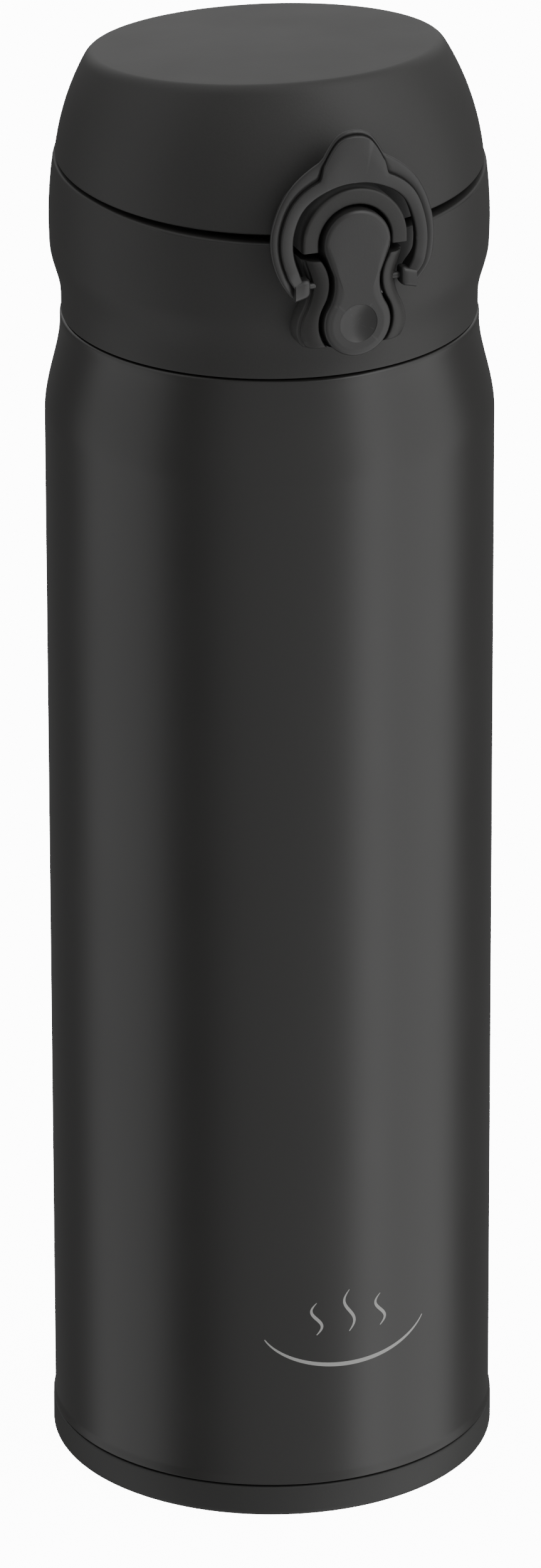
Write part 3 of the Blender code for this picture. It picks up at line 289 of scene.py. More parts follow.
def thread_part(wall, outward, low):
    """A ridge carried along a helix: height grows by the pitch for each turn, ends fade into the wall."""
    side = 1.0 if outward else -1.0
    steps = int(72 * THREAD_TURNS)
    turn = np.linspace(0, 2 * math.pi * THREAD_TURNS, steps)
    fade = ease(np.minimum(turn, turn[-1] - turn) / 0.35)
    deep = -0.3 * MM
    crest = 1.15 * MM
    section = np.array([(deep, -1.0), (crest * 0.25, -0.85), (crest * 0.8, -0.6), (crest, -0.35),
                        (crest, 0.35), (crest * 0.8, 0.6), (crest * 0.25, 0.85), (deep, 1.0)])
    radius = wall + side * (deep + (section[:, 0] - deep) * fade[:, None])
    height = low + THREAD_PITCH * turn[:, None] / (2 * math.pi) + section[:, 1] * MM
    return loft_part(np.stack([radius * np.cos(turn)[:, None], radius * np.sin(turn)[:, None], height],
                              axis=-1))


# --- shader groups --------------------------------------------------------------------------------
def node(tree, kind, **settings):
    """A new node with its settings."""
    made = tree.nodes.new(kind)
    for key, value in settings.items():
        setattr(made, key, value)
    return made


def noise(tree, vector, scale, detail=2.0, rough=0.5):
    """A noise texture read at a vector."""
    made = node(tree, "ShaderNodeTexNoise")
    made.inputs["Scale"].default_value = scale
    made.inputs["Detail"].default_value = detail
    made.inputs["Roughness"].default_value = rough
    tree.links.new(vector, made.inputs["Vector"])
    return made.outputs["Fac"]


def math_node(tree, operation, first, second=None, clamp=False):
    """One sum of two values, each a number or another node's output."""
    made = node(tree, "ShaderNodeMath", operation=operation, use_clamp=clamp)
    for socket, value in zip(made.inputs, (first, second)):
        if value is None:
            continue
        if isinstance(value, (int, float)):
            socket.default_value = value
        else:
            tree.links.new(value, socket)
    return made.outputs[0]


def new_group(name, inputs, outputs):
    """An empty shader group with named number inputs and outputs."""
    group = bpy.data.node_groups.new(name, "ShaderNodeTree")
    for label, value in inputs:
        socket = group.interface.new_socket(label, in_out="INPUT", socket_type="NodeSocketFloat")
        socket.default_value = value
    for label in outputs:
        group.interface.new_socket(label, in_out="OUTPUT", socket_type="NodeSocketFloat")
    return group, group.nodes.new("NodeGroupInput"), group.nodes.new("NodeGroupOutput")


def moulded_grain():
    """Fine pebbled grain of moulded plastic or powder paint: two sizes of noise added together."""
    group, start, end = new_group("moulded_grain", [("Grain", 5000.0), ("Wave", 60.0)],
                                  ["Height", "Patch"])
    place = node(group, "ShaderNodeTexCoord").outputs["Object"]
    fine = node(group, "ShaderNodeTexNoise")
    fine.inputs["Detail"].default_value = 3.0
    wide = node(group, "ShaderNodeTexNoise")
    wide.inputs["Detail"].default_value = 2.0
    for tex, label in ((fine, "Grain"), (wide, "Wave")):
        group.links.new(place, tex.inputs["Vector"])
        group.links.new(start.outputs[label], tex.inputs["Scale"])
    high = math_node(group, "MULTIPLY", fine.outputs["Fac"], 0.8)
    low = math_node(group, "MULTIPLY", wide.outputs["Fac"], 0.2)
    group.links.new(math_node(group, "ADD", high, low), end.inputs["Height"])
    group.links.new(wide.outputs["Fac"], end.inputs["Patch"])
    return group


def edge_wear():
    """A mask of worn edges: where the surface is sharply convex, broken up by noise."""
    group, start, end = new_group("edge_wear", [("Amount", 0.5), ("Break up", 900.0)], ["Mask"])
    place = node(group, "ShaderNodeTexCoord").outputs["Object"]
    bend = node(group, "ShaderNodeNewGeometry").outputs["Pointiness"]
    tex = node(group, "ShaderNodeTexNoise")
    tex.inputs["Detail"].default_value = 4.0
    group.links.new(place, tex.inputs["Vector"])
    group.links.new(start.outputs["Break up"], tex.inputs["Scale"])
    lift = math_node(group, "MULTIPLY", math_node(group, "SUBTRACT", bend, 0.53), 9.0, clamp=True)
    broken = math_node(group, "MULTIPLY", lift, tex.outputs["Fac"])
    group.links.new(math_node(group, "MULTIPLY", broken, start.outputs["Amount"], clamp=True),
                    end.inputs["Mask"])
    return group


def fine_scratches():
    """Very light hairlines: noise scaled by Along in X and Y and by Across in Z."""
    group, start, end = new_group("fine_scratches", [("Across", 700.0), ("Along", 12.0)], ["Height"])
    place = node(group, "ShaderNodeTexCoord").outputs["Object"]
    join = node(group, "ShaderNodeCombineXYZ")
    group.links.new(start.outputs["Along"], join.inputs["X"])
    group.links.new(start.outputs["Along"], join.inputs["Y"])
    group.links.new(start.outputs["Across"], join.inputs["Z"])
    scaled = node(group, "ShaderNodeVectorMath", operation="MULTIPLY")
    group.links.new(place, scaled.inputs[0])
    group.links.new(join.outputs["Vector"], scaled.inputs[1])
    group.links.new(noise(group, scaled.outputs["Vector"], 1.0, 3.0), end.inputs["Height"])
    return group


def painted_recess_shade():
    """Painted shade round the arch: how open the wall is, dark deep beside the arch and 1 elsewhere,
    standing in for the shade between the arch and the ring. It multiplies two soft fades, one by the
    distance from the ring's centre in X and Z, the other by the reach forward."""
    group, start, end = new_group("painted_recess_shade", [("Darkest", 0.05)], ["Open"])
    place = node(group, "ShaderNodeTexCoord").outputs["Object"]
    split = node(group, "ShaderNodeSeparateXYZ")
    group.links.new(place, split.inputs["Vector"])
    rise = math_node(group, "SUBTRACT", split.outputs["Z"], RING_Z)
    squares = math_node(group, "ADD", math_node(group, "POWER", split.outputs["X"], 2.0),
                        math_node(group, "POWER", rise, 2.0))
    near = node(group, "ShaderNodeMapRange", interpolation_type="SMOOTHSTEP")
    group.links.new(math_node(group, "SQRT", squares), near.inputs["Value"])
    near.inputs["From Min"].default_value = RECESS_EDGE
    near.inputs["From Max"].default_value = RECESS_EDGE - RECESS_FADE
    deep = node(group, "ShaderNodeMapRange", interpolation_type="SMOOTHSTEP")
    group.links.new(split.outputs["Y"], deep.inputs["Value"])
    deep.inputs["From Min"].default_value = RECESS_START - ARCH_FACE
    deep.inputs["From Max"].default_value = RECESS_DEEP - ARCH_FACE
    front = math_node(group, "LESS_THAN", split.outputs["Y"], FRONT_LIMIT)
    shade = math_node(group, "MULTIPLY", near.outputs["Result"],
                      math_node(group, "MULTIPLY", deep.outputs["Result"], front))
    kept = math_node(group, "SUBTRACT", 1.0, start.outputs["Darkest"])
    group.links.new(math_node(group, "SUBTRACT", 1.0, math_node(group, "MULTIPLY", shade, kept)),
                    end.inputs["Open"])
    return group


GRAIN = moulded_grain()
WEAR = edge_wear()
HAIRLINES = fine_scratches()
# Painted shade round the arch, shared by the lid and collar plastic.
PAINTED_SHADE = painted_recess_shade()


def use_group(tree, group, **values):
    """A shared effect placed in a material with that material's own values."""
    made = node(tree, "ShaderNodeGroup", node_tree=group)
    for label, value in values.items():
        made.inputs[label.replace("_", " ")].default_value = value
    return made


def finish(name, colour, roughness, metallic=0.0, grain=5000.0, wave=60.0, depth=0.02, strength=0.25,
           swing=0.06, tint=0.10, worn=(0.10, 0.10, 0.10), wear=0.4, hairlines=0.0, painted_shade=False, **plain):
    """A procedural finish: grain in the normal, patches in colour and roughness, worn edges.

    The finish can carry painted shade: it is dark and dull where the recess group says so, standing in for
    the shade round the arch."""
    mat = bpy.data.materials.new(name)
    mat.use_nodes = True
    tree = mat.node_tree
    shader = tree.nodes["Principled BSDF"]
    shader.inputs["Metallic"].default_value = metallic
    for label, value in plain.items():
        shader.inputs[label.replace("_", " ")].default_value = value
    grained = use_group(tree, GRAIN, Grain=grain, Wave=wave)
    worn_mask = use_group(tree, WEAR, Amount=wear)
    shade = node(tree, "ShaderNodeMix", data_type="RGBA")
    shade.inputs["A"].default_value = (*[c * (1 - tint) for c in colour], 1.0)
    shade.inputs["B"].default_value = (*[c * (1 + tint) for c in colour], 1.0)
    tree.links.new(grained.outputs["Height"], shade.inputs["Factor"])
    rub = node(tree, "ShaderNodeMix", data_type="RGBA")
    rub.inputs["B"].default_value = (*worn, 1.0)
    tree.links.new(worn_mask.outputs["Mask"], rub.inputs["Factor"])
    tree.links.new(shade.outputs["Result"], rub.inputs["A"])
    base = rub.outputs["Result"]
    # Painted shade: the base colour is darkened and the roughness raised round the arch, standing in for
    # shade in the recess.
    if painted_shade:
        recess = use_group(tree, PAINTED_SHADE)
        dim = node(tree, "ShaderNodeMix", data_type="RGBA", blend_type="MULTIPLY")
        dim.inputs["Factor"].default_value = 1.0
        tree.links.new(base, dim.inputs["A"])
        tree.links.new(recess.outputs["Open"], dim.inputs["B"])
        base = dim.outputs["Result"]
        closed = math_node(tree, "SUBTRACT", 1.0, recess.outputs["Open"])
        roughness = math_node(tree, "ADD", math_node(tree, "MULTIPLY", closed, RECESS_DULL), roughness)
    tree.links.new(base, shader.inputs["Base Color"])
    spread = math_node(tree, "MULTIPLY", math_node(tree, "SUBTRACT", grained.outputs["Patch"], 0.5),
                       2 * swing)
    rough = math_node(tree, "ADD", spread, roughness, clamp=True)
    tree.links.new(rough, shader.inputs["Roughness"])
    height = grained.outputs["Height"]
    if hairlines:
        lines = use_group(tree, HAIRLINES, Across=hairlines)
        height = math_node(tree, "ADD", height, lines.outputs["Height"])
    bump = node(tree, "ShaderNodeBump")
    bump.inputs["Strength"].default_value = strength
    bump.inputs["Distance"].default_value = depth * MM
    tree.links.new(height, bump.inputs["Height"])
    tree.links.new(bump.outputs["Normal"], shader.inputs["Normal"])
    return mat


body_paint = finish("satin_black_paint", (0.020, 0.0195, 0.0185), 0.33, grain=2600.0, wave=45.0,
                    depth=0.02, strength=0.22, swing=0.05, tint=0.12, worn=(0.06, 0.06, 0.06),
                    wear=0.25, Specular_IOR_Level=0.5, Coat_Weight=0.10, Coat_Roughness=0.30)
# This plastic carries painted shade round the arch.
case_plastic = finish("matte_black_plastic", (0.026, 0.0255, 0.0245), 0.52, grain=3400.0, wave=70.0,
                      depth=0.03, strength=0.45, swing=0.05, tint=0.16, worn=(0.07, 0.07, 0.07),
                      wear=0.4, painted_shade=True, Specular_IOR_Level=0.42)
lock_plastic = finish("lock_black_plastic", (0.024, 0.0235, 0.023), 0.38, grain=4200.0, wave=80.0,
                      depth=0.025, strength=0.3, swing=0.05, tint=0.12, worn=(0.08, 0.08, 0.08), wear=0.5)
base_plastic = finish("base_black_plastic", (0.022, 0.022, 0.021), 0.55, grain=3000.0, wave=60.0,
                      depth=0.03, strength=0.4, worn=(0.06, 0.06, 0.06), wear=0.5)
spout_plastic = finish("grey_food_plastic", (0.10, 0.10, 0.10), 0.40, grain=4500.0, wave=90.0,
                       depth=0.02, strength=0.2, worn=(0.2, 0.2, 0.2), wear=0.3)
silicone = finish("grey_silicone", (0.23, 0.23, 0.23), 0.62, grain=3800.0, wave=120.0, depth=0.02,
                  strength=0.3, worn=(0.3, 0.3, 0.3), wear=0.2, Specular_IOR_Level=0.35)
brushed_steel = finish("brushed_steel", (0.60, 0.60, 0.585), 0.27, metallic=1.0, grain=2600.0,
                       depth=0.01, strength=0.25, tint=0.05, worn=(0.7, 0.7, 0.7), wear=0.3,
                       hairlines=2200.0)
bright_foil = finish("copper_toned_foil", (0.80, 0.50, 0.34), 0.24, metallic=1.0, grain=500.0,
                     depth=0.05, strength=0.4, tint=0.08, worn=(0.8, 0.6, 0.5), wear=0.2)
getter_metal = finish("dull_getter_metal", (0.42, 0.42, 0.41), 0.5, metallic=1.0, grain=2500.0,
                      depth=0.03, strength=0.5, tint=0.1, worn=(0.5, 0.5, 0.5), wear=0.2)
pin_steel = finish("dark_pin_steel", (0.16, 0.16, 0.16), 0.32, metallic=1.0, grain=3000.0,
                   depth=0.01, strength=0.2, tint=0.05, worn=(0.6, 0.6, 0.6), wear=0.3, hairlines=3000.0)
print_ink = finish("silver_print", (0.36, 0.36, 0.35), 0.45, grain=6000.0, depth=0.01, strength=0.2,
                   tint=0.08, worn=(0.3, 0.3, 0.3), wear=0.0)

for name, mat in (("inner_vessel", brushed_steel), ("radiation_foil", bright_foil),
                  ("base_plate", brushed_steel), ("getter", getter_metal), ("vacuum_seal", getter_metal),
                  ("stopper_gasket", silicone), ("spout_seal", silicone), ("hinge_pin", pin_steel),
                  ("hinge_spring", pin_steel), ("button_pin", pin_steel), ("button_spring", pin_steel)):
    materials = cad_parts[name].data.materials
    materials.clear()
    materials.append(mat)


# --- flask shell ----------------------------------------------------------------------------------
def shell_profile():
    """Outer side from the neck's top down to the rolled foot, then the inner side back up.

    The shoulder eases in from the body's radius with a smooth step over its rise."""
    shoulder_r = BODY_RADIUS - SHOULDER_STEP
    rise = np.linspace(1, 0, 40)
    shoulder = np.stack([BODY_RADIUS - SHOULDER_STEP * ease(rise),
                         SHOULDER_TOP - SHOULDER_RISE + SHOULDER_RISE * rise], axis=-1)
    edge = 0.55 * MM
    body_heights = np.linspace(SHOULDER_TOP - SHOULDER_RISE, BODY_LOW + 1.6 * MM, 60)[1:]
    body = np.stack([np.full_like(body_heights, BODY_RADIUS), body_heights], axis=-1)
    foot = ease(np.linspace(0.1, 1, 9))
    flare = np.stack([BODY_RADIUS + FOOT_FLARE * 0.9 * foot,
                      BODY_LOW + 1.5 * MM - 1.4 * MM * np.linspace(0.1, 1, 9)], axis=-1)
    outer = np.concatenate([
        [(NECK_RADIUS - 0.2 * MM, NECK_TOP), (NECK_RADIUS, NECK_TOP - 0.15 * MM)],
        arc_points(NECK_RADIUS + 0.8 * MM, LEDGE + 0.8 * MM, 0.8 * MM, 180, 270, 6),
        arc_points(shoulder_r - edge, LEDGE - edge, edge, 90, 0, 7),
        shoulder, body, flare, [(BODY_RADIUS + FOOT_FLARE * 0.7, BODY_LOW)]])
    inner = np.array([(BODY_RADIUS - STEEL_WALL, BODY_LOW),
                      (BODY_RADIUS - STEEL_WALL, SHOULDER_TOP - SHOULDER_RISE),
                      (shoulder_r - STEEL_WALL, SHOULDER_TOP - 0.5 * MM),
                      (NECK_RADIUS - STEEL_WALL, SHOULDER_TOP), (NECK_RADIUS - STEEL_WALL, NECK_TOP)])
    return np.concatenate([outer, inner])


piece("flask_shell", [turned_part(shell_profile(), closed=True),
                      thread_part(NECK_RADIUS, True, LEDGE + THREAD_LOW)],
      body_paint, "flask", "body_paint", "outer_shell")


def foot_profile():
    """The base cap: rounded rim, flat floor with a shallow groove, and the ring inside the shell."""
    ring = BODY_RADIUS - STEEL_WALL - 0.3 * MM
    top = BODY_LOW - 0.3 * MM
    low = 1.0 * MM
    groove = 26.0 * MM
    return np.concatenate([
        [(0.0, 1.8 * MM), (ring - 1.8 * MM, 1.8 * MM), (ring - 1.8 * MM, CAP_TOP), (ring, CAP_TOP),
         (ring, top)],
        arc_points(CAP_EDGE - 0.45 * MM, top - 0.45 * MM, 0.45 * MM, 90, 0, 8),
        arc_points(CAP_EDGE - low, low, low, 0, -90, 8),
        [(groove + 0.5 * MM, 0.0), (groove + 0.35 * MM, 0.5 * MM), (groove - 0.35 * MM, 0.5 * MM),
         (groove - 0.5 * MM, 0.0), (0.0, 0.0)]])


piece("base_foot", [turned_part(foot_profile())], base_plastic, "flask", "base_plastic", "base_cap")


# --- outline of the button, its pocket and the cheeks' inner edge ---------------------------------
def outline_sizes(grow):
    """End radius, half waist, half spacing, hollow radius and the angle where an end meets a hollow."""
    end = BUTTON_ROUND + grow
    waist = BUTTON_WAIST + grow
    half = BUTTON_SPACING / 2
    hollow = (half ** 2 + waist ** 2 - end ** 2) / (2 * (end - waist))
    lean = math.atan2(half, waist + hollow)
    return end, waist, half, hollow, lean


def outline_half_width(height, grow):
    """Half the outline's width at a height: round ends joined by hollow sides."""
    end, waist, half, hollow, lean = outline_sizes(grow)
    middle = BUTTON_LOW + half
    away = np.abs(height - middle)
    inside = end ** 2 - (away - half) ** 2
    lobe = np.sqrt(np.clip(inside, 0, None))
    side = waist + hollow - np.sqrt(np.clip(hollow ** 2 - away ** 2, 0, None))
    return np.where(away < half - end * math.sin(lean), side, lobe)


def button_loop(grow, count):
    """The outline seen from its lower end's centre: (across, height) at even angles."""
    end, waist, half, hollow, lean = outline_sizes(grow)
    low = np.linspace(-math.pi / 2, lean, 80)
    side = np.linspace(math.pi + lean, math.pi - lean, 80)[1:-1]
    high = np.linspace(-lean, math.pi / 2, 80)
    across = np.concatenate([end * np.cos(low), waist + hollow + hollow * np.cos(side),
                             end * np.cos(high)])
    height = np.concatenate([end * np.sin(low), half + hollow * np.sin(side),
                             BUTTON_SPACING + end * np.sin(high)])
    angle = np.arctan2(across, -height)
    reach = np.hypot(across, height)
    turn = np.linspace(0, 2 * math.pi, count, endpoint=False)
    radius = np.interp(np.minimum(turn, 2 * math.pi - turn), angle, reach)
    return np.stack([radius * np.sin(turn), BUTTON_LOW - radius * np.cos(turn)], axis=-1)


def button_parts():
    """Rings from the back up the side, over a rounded rim, across a soft crown, into the dimple."""
    count = 240
    rim = 0.6 * MM
    rings = [(0.0, BUTTON_BACK), (0.0, BUTTON_FACE - rim)]
    turn = np.radians(np.linspace(12, 90, 8))
    rings += [(-rim * (1 - math.cos(a)), BUTTON_FACE - 0.06 * MM - rim * (1 - math.sin(a))) for a in turn]
    loops = []
    for grow, reach in rings:
        loop = button_loop(grow, count)
        loops.append(np.stack([loop[:, 0], np.full(count, -reach), loop[:, 1]], axis=-1))
    face_loop = button_loop(-rim, count)
    angle = np.linspace(0, 2 * math.pi, count, endpoint=False)
    for share in np.linspace(0.12, 1, 9):
        circle = np.stack([1.02 * DIMPLE_RADIUS * np.sin(angle),
                           BUTTON_LOW - 1.02 * DIMPLE_RADIUS * np.cos(angle)], axis=-1)
        loop = face_loop + (circle - face_loop) * share
        reach = np.full(count, -(BUTTON_FACE - 0.06 * MM * (1 - min(share * 3, 1.0))))
        loops.append(np.stack([loop[:, 0], reach, loop[:, 1]], axis=-1))
    for share in np.concatenate([[1.0, 0.985], np.linspace(0.95, 0, 14)]):
        radius = DIMPLE_RADIUS * share
        bowl = DIMPLE_DEPTH * (1 - share ** 2.2) + 0.03 * MM * (share < 0.99)
        loops.append(np.stack([radius * np.sin(angle), np.full(count, -(BUTTON_FACE - bowl)),
                               BUTTON_LOW - radius * np.cos(angle)], axis=-1))
    hook_low = BUTTON_LOW + 12.1 * MM
    section = rounded_box((-2.4 * MM, hook_low), (2.4 * MM, hook_low + 2.0 * MM), 0.3 * MM)
    reaches = np.array([BUTTON_BACK + 0.6 * MM, BUTTON_BACK - 3.3 * MM, BUTTON_BACK - 3.55 * MM])
    shrink = np.array([1.0, 1.0, 0.9])
    middle = np.array([0.0, hook_low + 1.0 * MM])
    hook = np.stack([np.stack([(middle[0] + (section[:, 0] - middle[0]) * s), np.full(len(section), -r),
                               middle[1] + (section[:, 1] - middle[1]) * s], axis=-1)
                     for r, s in zip(reaches, shrink)])
    return [loft_part(np.stack(loops)), loft_part(hook)]


piece("button_cap", button_parts(), lock_plastic, "button", "lock_plastic", "push_button", sharp=50.0)


# --- collar ---------------------------------------------------------------------------------------
def band_radius(height):
    """The collar's outer radius: a neck that eases out into a gently bowed band."""
    rise = height - COLLAR_LOW
    flare = ease((rise - 2.0 * MM) / (8.0 * MM))
    bow = COLLAR_BAND - COLLAR_BOW + np.sqrt(COLLAR_BOW ** 2 - (rise - COLLAR_BAND_RISE) ** 2)
    return COLLAR_NECK + (bow - COLLAR_NECK) * flare


def knuckle_gap(y):
    """How far the cut round the hinge reaches over and under its axis at a depth y."""
    room = (KNUCKLE + KNUCKLE_CLEAR) ** 2 - (y - HINGE_Y) ** 2
    return np.sqrt(np.clip(room, 0, None))


def collar_top(x, y):
    """The collar's top edge: two tilted planes, lower round the lid's knuckle at the back."""
    top = np.minimum(PARTING - PARTING_GAP + PARTING_SLOPE * y, PARTING - 0.05 * MM + COLLAR_SLOPE * y)
    room = (np.abs(x) < LID_KNUCKLE_HALF + 0.25 * MM) & (y > 0)
    return np.where(room, np.minimum(top, HINGE_Z - knuckle_gap(np.minimum(y, HINGE_Y))), top)


def collar_wall():
    """Right half of the wall, as an outer and an inner sheet joined at their borders.

    Rows follow the height and crowd where the pocket's round end starts; columns run from the
    pocket's edge, at the front, to the back. Above the arch room the rows stretch to the top edge."""
    grow = POCKET_GAP + 0.15 * MM
    end = BUTTON_ROUND + grow
    lobe = BUTTON_LOW - end * np.cos(np.radians(np.linspace(0, 100, 26)))
    heights = np.concatenate([np.linspace(COLLAR_LOW, lobe[0], 12)[:-1], lobe,
                              np.linspace(lobe[-1], CHEEK_TOP, 14)[1:]])
    fixed = len(heights)
    room = math.asin(ARCH_ROOM / COLLAR_BAND)
    step = math.asin((LID_KNUCKLE_HALF + 0.25 * MM) / COLLAR_BAND)
    even = np.linspace(room, math.pi, 90)
    even = even[np.abs(even - (math.pi - step)) > 0.004]
    beyond = np.sort(np.concatenate([even, [math.pi - step - 1e-4, math.pi - step + 1e-4]]))
    near = np.linspace(0, 1, 12)
    width = outline_half_width(heights, grow) * (heights > lobe[0] + 1e-9)
    start = np.arcsin(width / band_radius(heights))
    front = start[:, None] + (room - start[:, None]) * near
    angle = np.concatenate([front, np.broadcast_to(beyond, (fixed, len(beyond)))], axis=1)
    z = np.broadcast_to(heights[:, None], angle.shape)
    last = angle[-1]
    x_top = COLLAR_BAND * np.sin(last)
    y_top = -COLLAR_BAND * np.cos(last)
    top = np.maximum(collar_top(x_top, y_top), heights[-1])
    top[:len(near)] = heights[-1]
    share = np.linspace(0, 1, 7)[1:, None]
    z = np.concatenate([z, heights[-1] + (top - heights[-1]) * share])
    angle = np.concatenate([angle, np.broadcast_to(last, (6, len(last)))])
    outer_r = band_radius(z)
    edge = 0.35 * MM

    def place(radius, height):
        return np.stack([radius * np.sin(angle), -radius * np.cos(angle), height], axis=-1)

    outer = place(outer_r, z)
    inner = place(np.full_like(z, COLLAR_INNER), z)
    crest = outer[-1].copy()
    direction = np.stack([np.sin(last), -np.cos(last), np.zeros_like(last)], axis=-1)
    rise = np.zeros_like(crest)
    rise[:, 2] = 1.0
    rim = [crest - rise * edge]
    for a in np.radians(np.linspace(0, 90, 5))[1:]:
        rim.append(crest - direction * edge * (1 - math.cos(a)) - rise * edge * (1 - math.sin(a)))
    rim.append(inner[-1] + direction * edge)
    rim.append(inner[-1] - rise * edge)
    outer[-1] = rim[0]
    inner[-1] = rim[-1]
    pocket = np.nonzero(width > 0)[0]
    first = pocket[0] - 1
    lip = np.stack([outer[first:, 0], inner[first:, 0]], axis=1)
    low = np.stack([outer[0], inner[0]])
    return [sheet_part(grid) for grid in (outer, inner, np.stack(rim), lip, low)]


def deck_part():
    """The deck as a ring between the mouthpiece's hole and the wall, flat on top."""
    turn = np.linspace(0, 2 * math.pi, AROUND, endpoint=False)
    circle = np.stack([np.cos(turn), np.sin(turn)], axis=-1)
    hole = DECK_HOLE * circle + np.array([0.0, SPOUT_Y])
    wall = (COLLAR_INNER + 0.3 * MM) * circle
    steps = ((0, DECK_TOP), (0.3, DECK_TOP), (0.85, DECK_TOP), (0.95, DECK_TOP + 0.3 * MM),
             (1, DECK_TOP + 1.4 * MM), (1, DECK_LOW), (0, DECK_LOW), (0, DECK_TOP))
    loops = [np.concatenate([hole + (wall - hole) * share, np.full((AROUND, 1), height)], axis=1)
             for share, height in steps]
    return sheet_part(np.stack(loops), wrap=True)


def vent_part():
    """A small raised rim round the air vent, dished in the middle."""
    profile = [(0.0, -0.35), (1.4, -0.35), (1.5, 0.25), (1.65, 0.35), (1.95, 0.35), (2.15, 0.2),
               (2.2, -0.6), (0.0, -0.6)]
    scaled = [(r * MM, DECK_TOP + z * MM) for r, z in profile]
    return turned_part(scaled, 48, (0.0, VENT_Y))


def cheek_edge(height):
    """The cheek's outer edge: shoulder, waist and flared foot, joined by a smooth curve."""
    rise = (height - LEDGE) / MM
    knots = np.array([5.5, 6.1, 7.7, 9.3, 11.0, 12.5, 14.9, 16.0, 17.5, 18.8, 19.6])
    half = np.array([5.7, 6.9, 8.05, 8.2, 7.8, 7.1, 6.5, 6.55, 6.95, 7.4, 7.62])
    return smooth_curve(knots, half, rise) * MM


def cheek_part():
    """One cheek, lofted upward: steep inner side, a face that slopes back outward, a round outer edge."""
    rows = np.concatenate([np.linspace(CHEEK_FOOT, CHEEK_TOP - 0.25 * MM, 46),
                           [CHEEK_TOP - 0.1 * MM, CHEEK_TOP - 0.02 * MM, CHEEK_TOP]])
    inset = np.concatenate([np.zeros(46), [0.08 * MM, 0.16 * MM, 0.3 * MM]])
    inner = outline_half_width(rows, POCKET_GAP) + inset * 0.5
    outer = cheek_edge(rows) - inset * 0.5
    grown = ease(0.25 + (rows - CHEEK_FOOT) / CHEEK_GROWTH)
    flush = np.sqrt(COLLAR_BAND ** 2 - outer ** 2)
    face = flush + 0.1 * MM + (CHEEK_FACE - 0.15 * MM - inset - flush) * grown
    side = flush + 0.05 * MM + (CHEEK_FACE - CHEEK_FALL - inset - flush) * grown
    back = BODY_RADIUS - CHEEK_DEPTH
    soft = 0.45 * MM * (0.4 + 0.6 * grown)
    width = outer - inner
    section = []
    for turn in np.radians(np.linspace(0, 90, 5)):
        section.append((inner + np.minimum(soft * 0.6, width * 0.2) * (1 - math.cos(turn)),
                        face - soft * 0.6 * (1 - math.sin(turn))))
    for share in (0.4, 0.6, 0.8):
        section.append((inner + width * share, face + (side - face) * (share - 0.2) ** 1.5 / 0.8))
    for turn in np.radians(np.linspace(90, 0, 5)):
        section.append((outer - np.minimum(soft, width * 0.2) * (1 - math.cos(turn)),
                        side - soft * (1 - math.sin(turn))))
    section.append((outer, np.full_like(rows, back)))
    section.append((inner, np.full_like(rows, back)))
    points = np.stack([np.stack([across, -reach, rows], axis=-1) for across, reach in section], axis=1)
    return loft_part(points)


def ear_part(side):
    """A hinge ear's web: it leaves the band smoothly and rises to the knuckle."""
    drop = 8.5 * MM
    start = 1.2 * MM
    rows = np.linspace(-drop, 0.6 * MM, 16)
    z = HINGE_Z + rows
    outward = HINGE_Y - start + (KNUCKLE + start) * ease((rows + drop) / (8.2 * MM))
    outward = np.minimum(outward, HINGE_Y + KNUCKLE - 0.02 * MM)
    inward = HINGE_Y - KNUCKLE + 0.1 * MM
    x0 = EAR_INNER + 0.05 * MM
    x1 = EAR_HALF - 0.05 * MM
    loops = []
    for height, reach in zip(z, outward):
        loop = rounded_box((x0, inward), (x1, reach), 0.35 * MM, 4)
        loops.append(np.stack([loop[:, 0], loop[:, 1], np.full(len(loop), height)], axis=-1))
    part = loft_part(np.stack(loops))
    return part if side > 0 else mirrored_part(part)


half_wall = collar_wall()
collar_parts = half_wall + [mirrored_part(part) for part in half_wall]
cheek = cheek_part()
ear_knuckle = rod_part(EAR_INNER, EAR_HALF, KNUCKLE, HINGE_Y, HINGE_Z, 0.4 * MM)
collar_parts += [deck_part(), vent_part(), cheek, mirrored_part(cheek),
                 turned_part([(SKIRT_OUTER, DECK_LOW + 0.2 * MM), (SKIRT_OUTER, COLLAR_LOW + 1.5 * MM),
                              (SKIRT_INNER, COLLAR_LOW + 1.5 * MM), (SKIRT_INNER, DECK_LOW + 0.2 * MM)],
                             closed=True),
                 thread_part(SKIRT_INNER, False, LEDGE + THREAD_LOW + THREAD_PITCH / 2),
                 ear_knuckle, mirrored_part(ear_knuckle), ear_part(1), ear_part(-1)]
piece("collar_body", collar_parts, case_plastic, "stopper", "black_plastic", "collar", sharp=40.0)


# --- lid ------------------------------------------------------------------------------------------
def lid_wall_radius(height, inset=0.0):
    """The lid's bowed wall: a circle of a large radius, moved in by the wall's thickness."""
    rise = height - (PARTING - LID_BOW_DROP)
    return LID_RADIUS - LID_BOW + np.sqrt((LID_BOW - inset) ** 2 - rise ** 2)


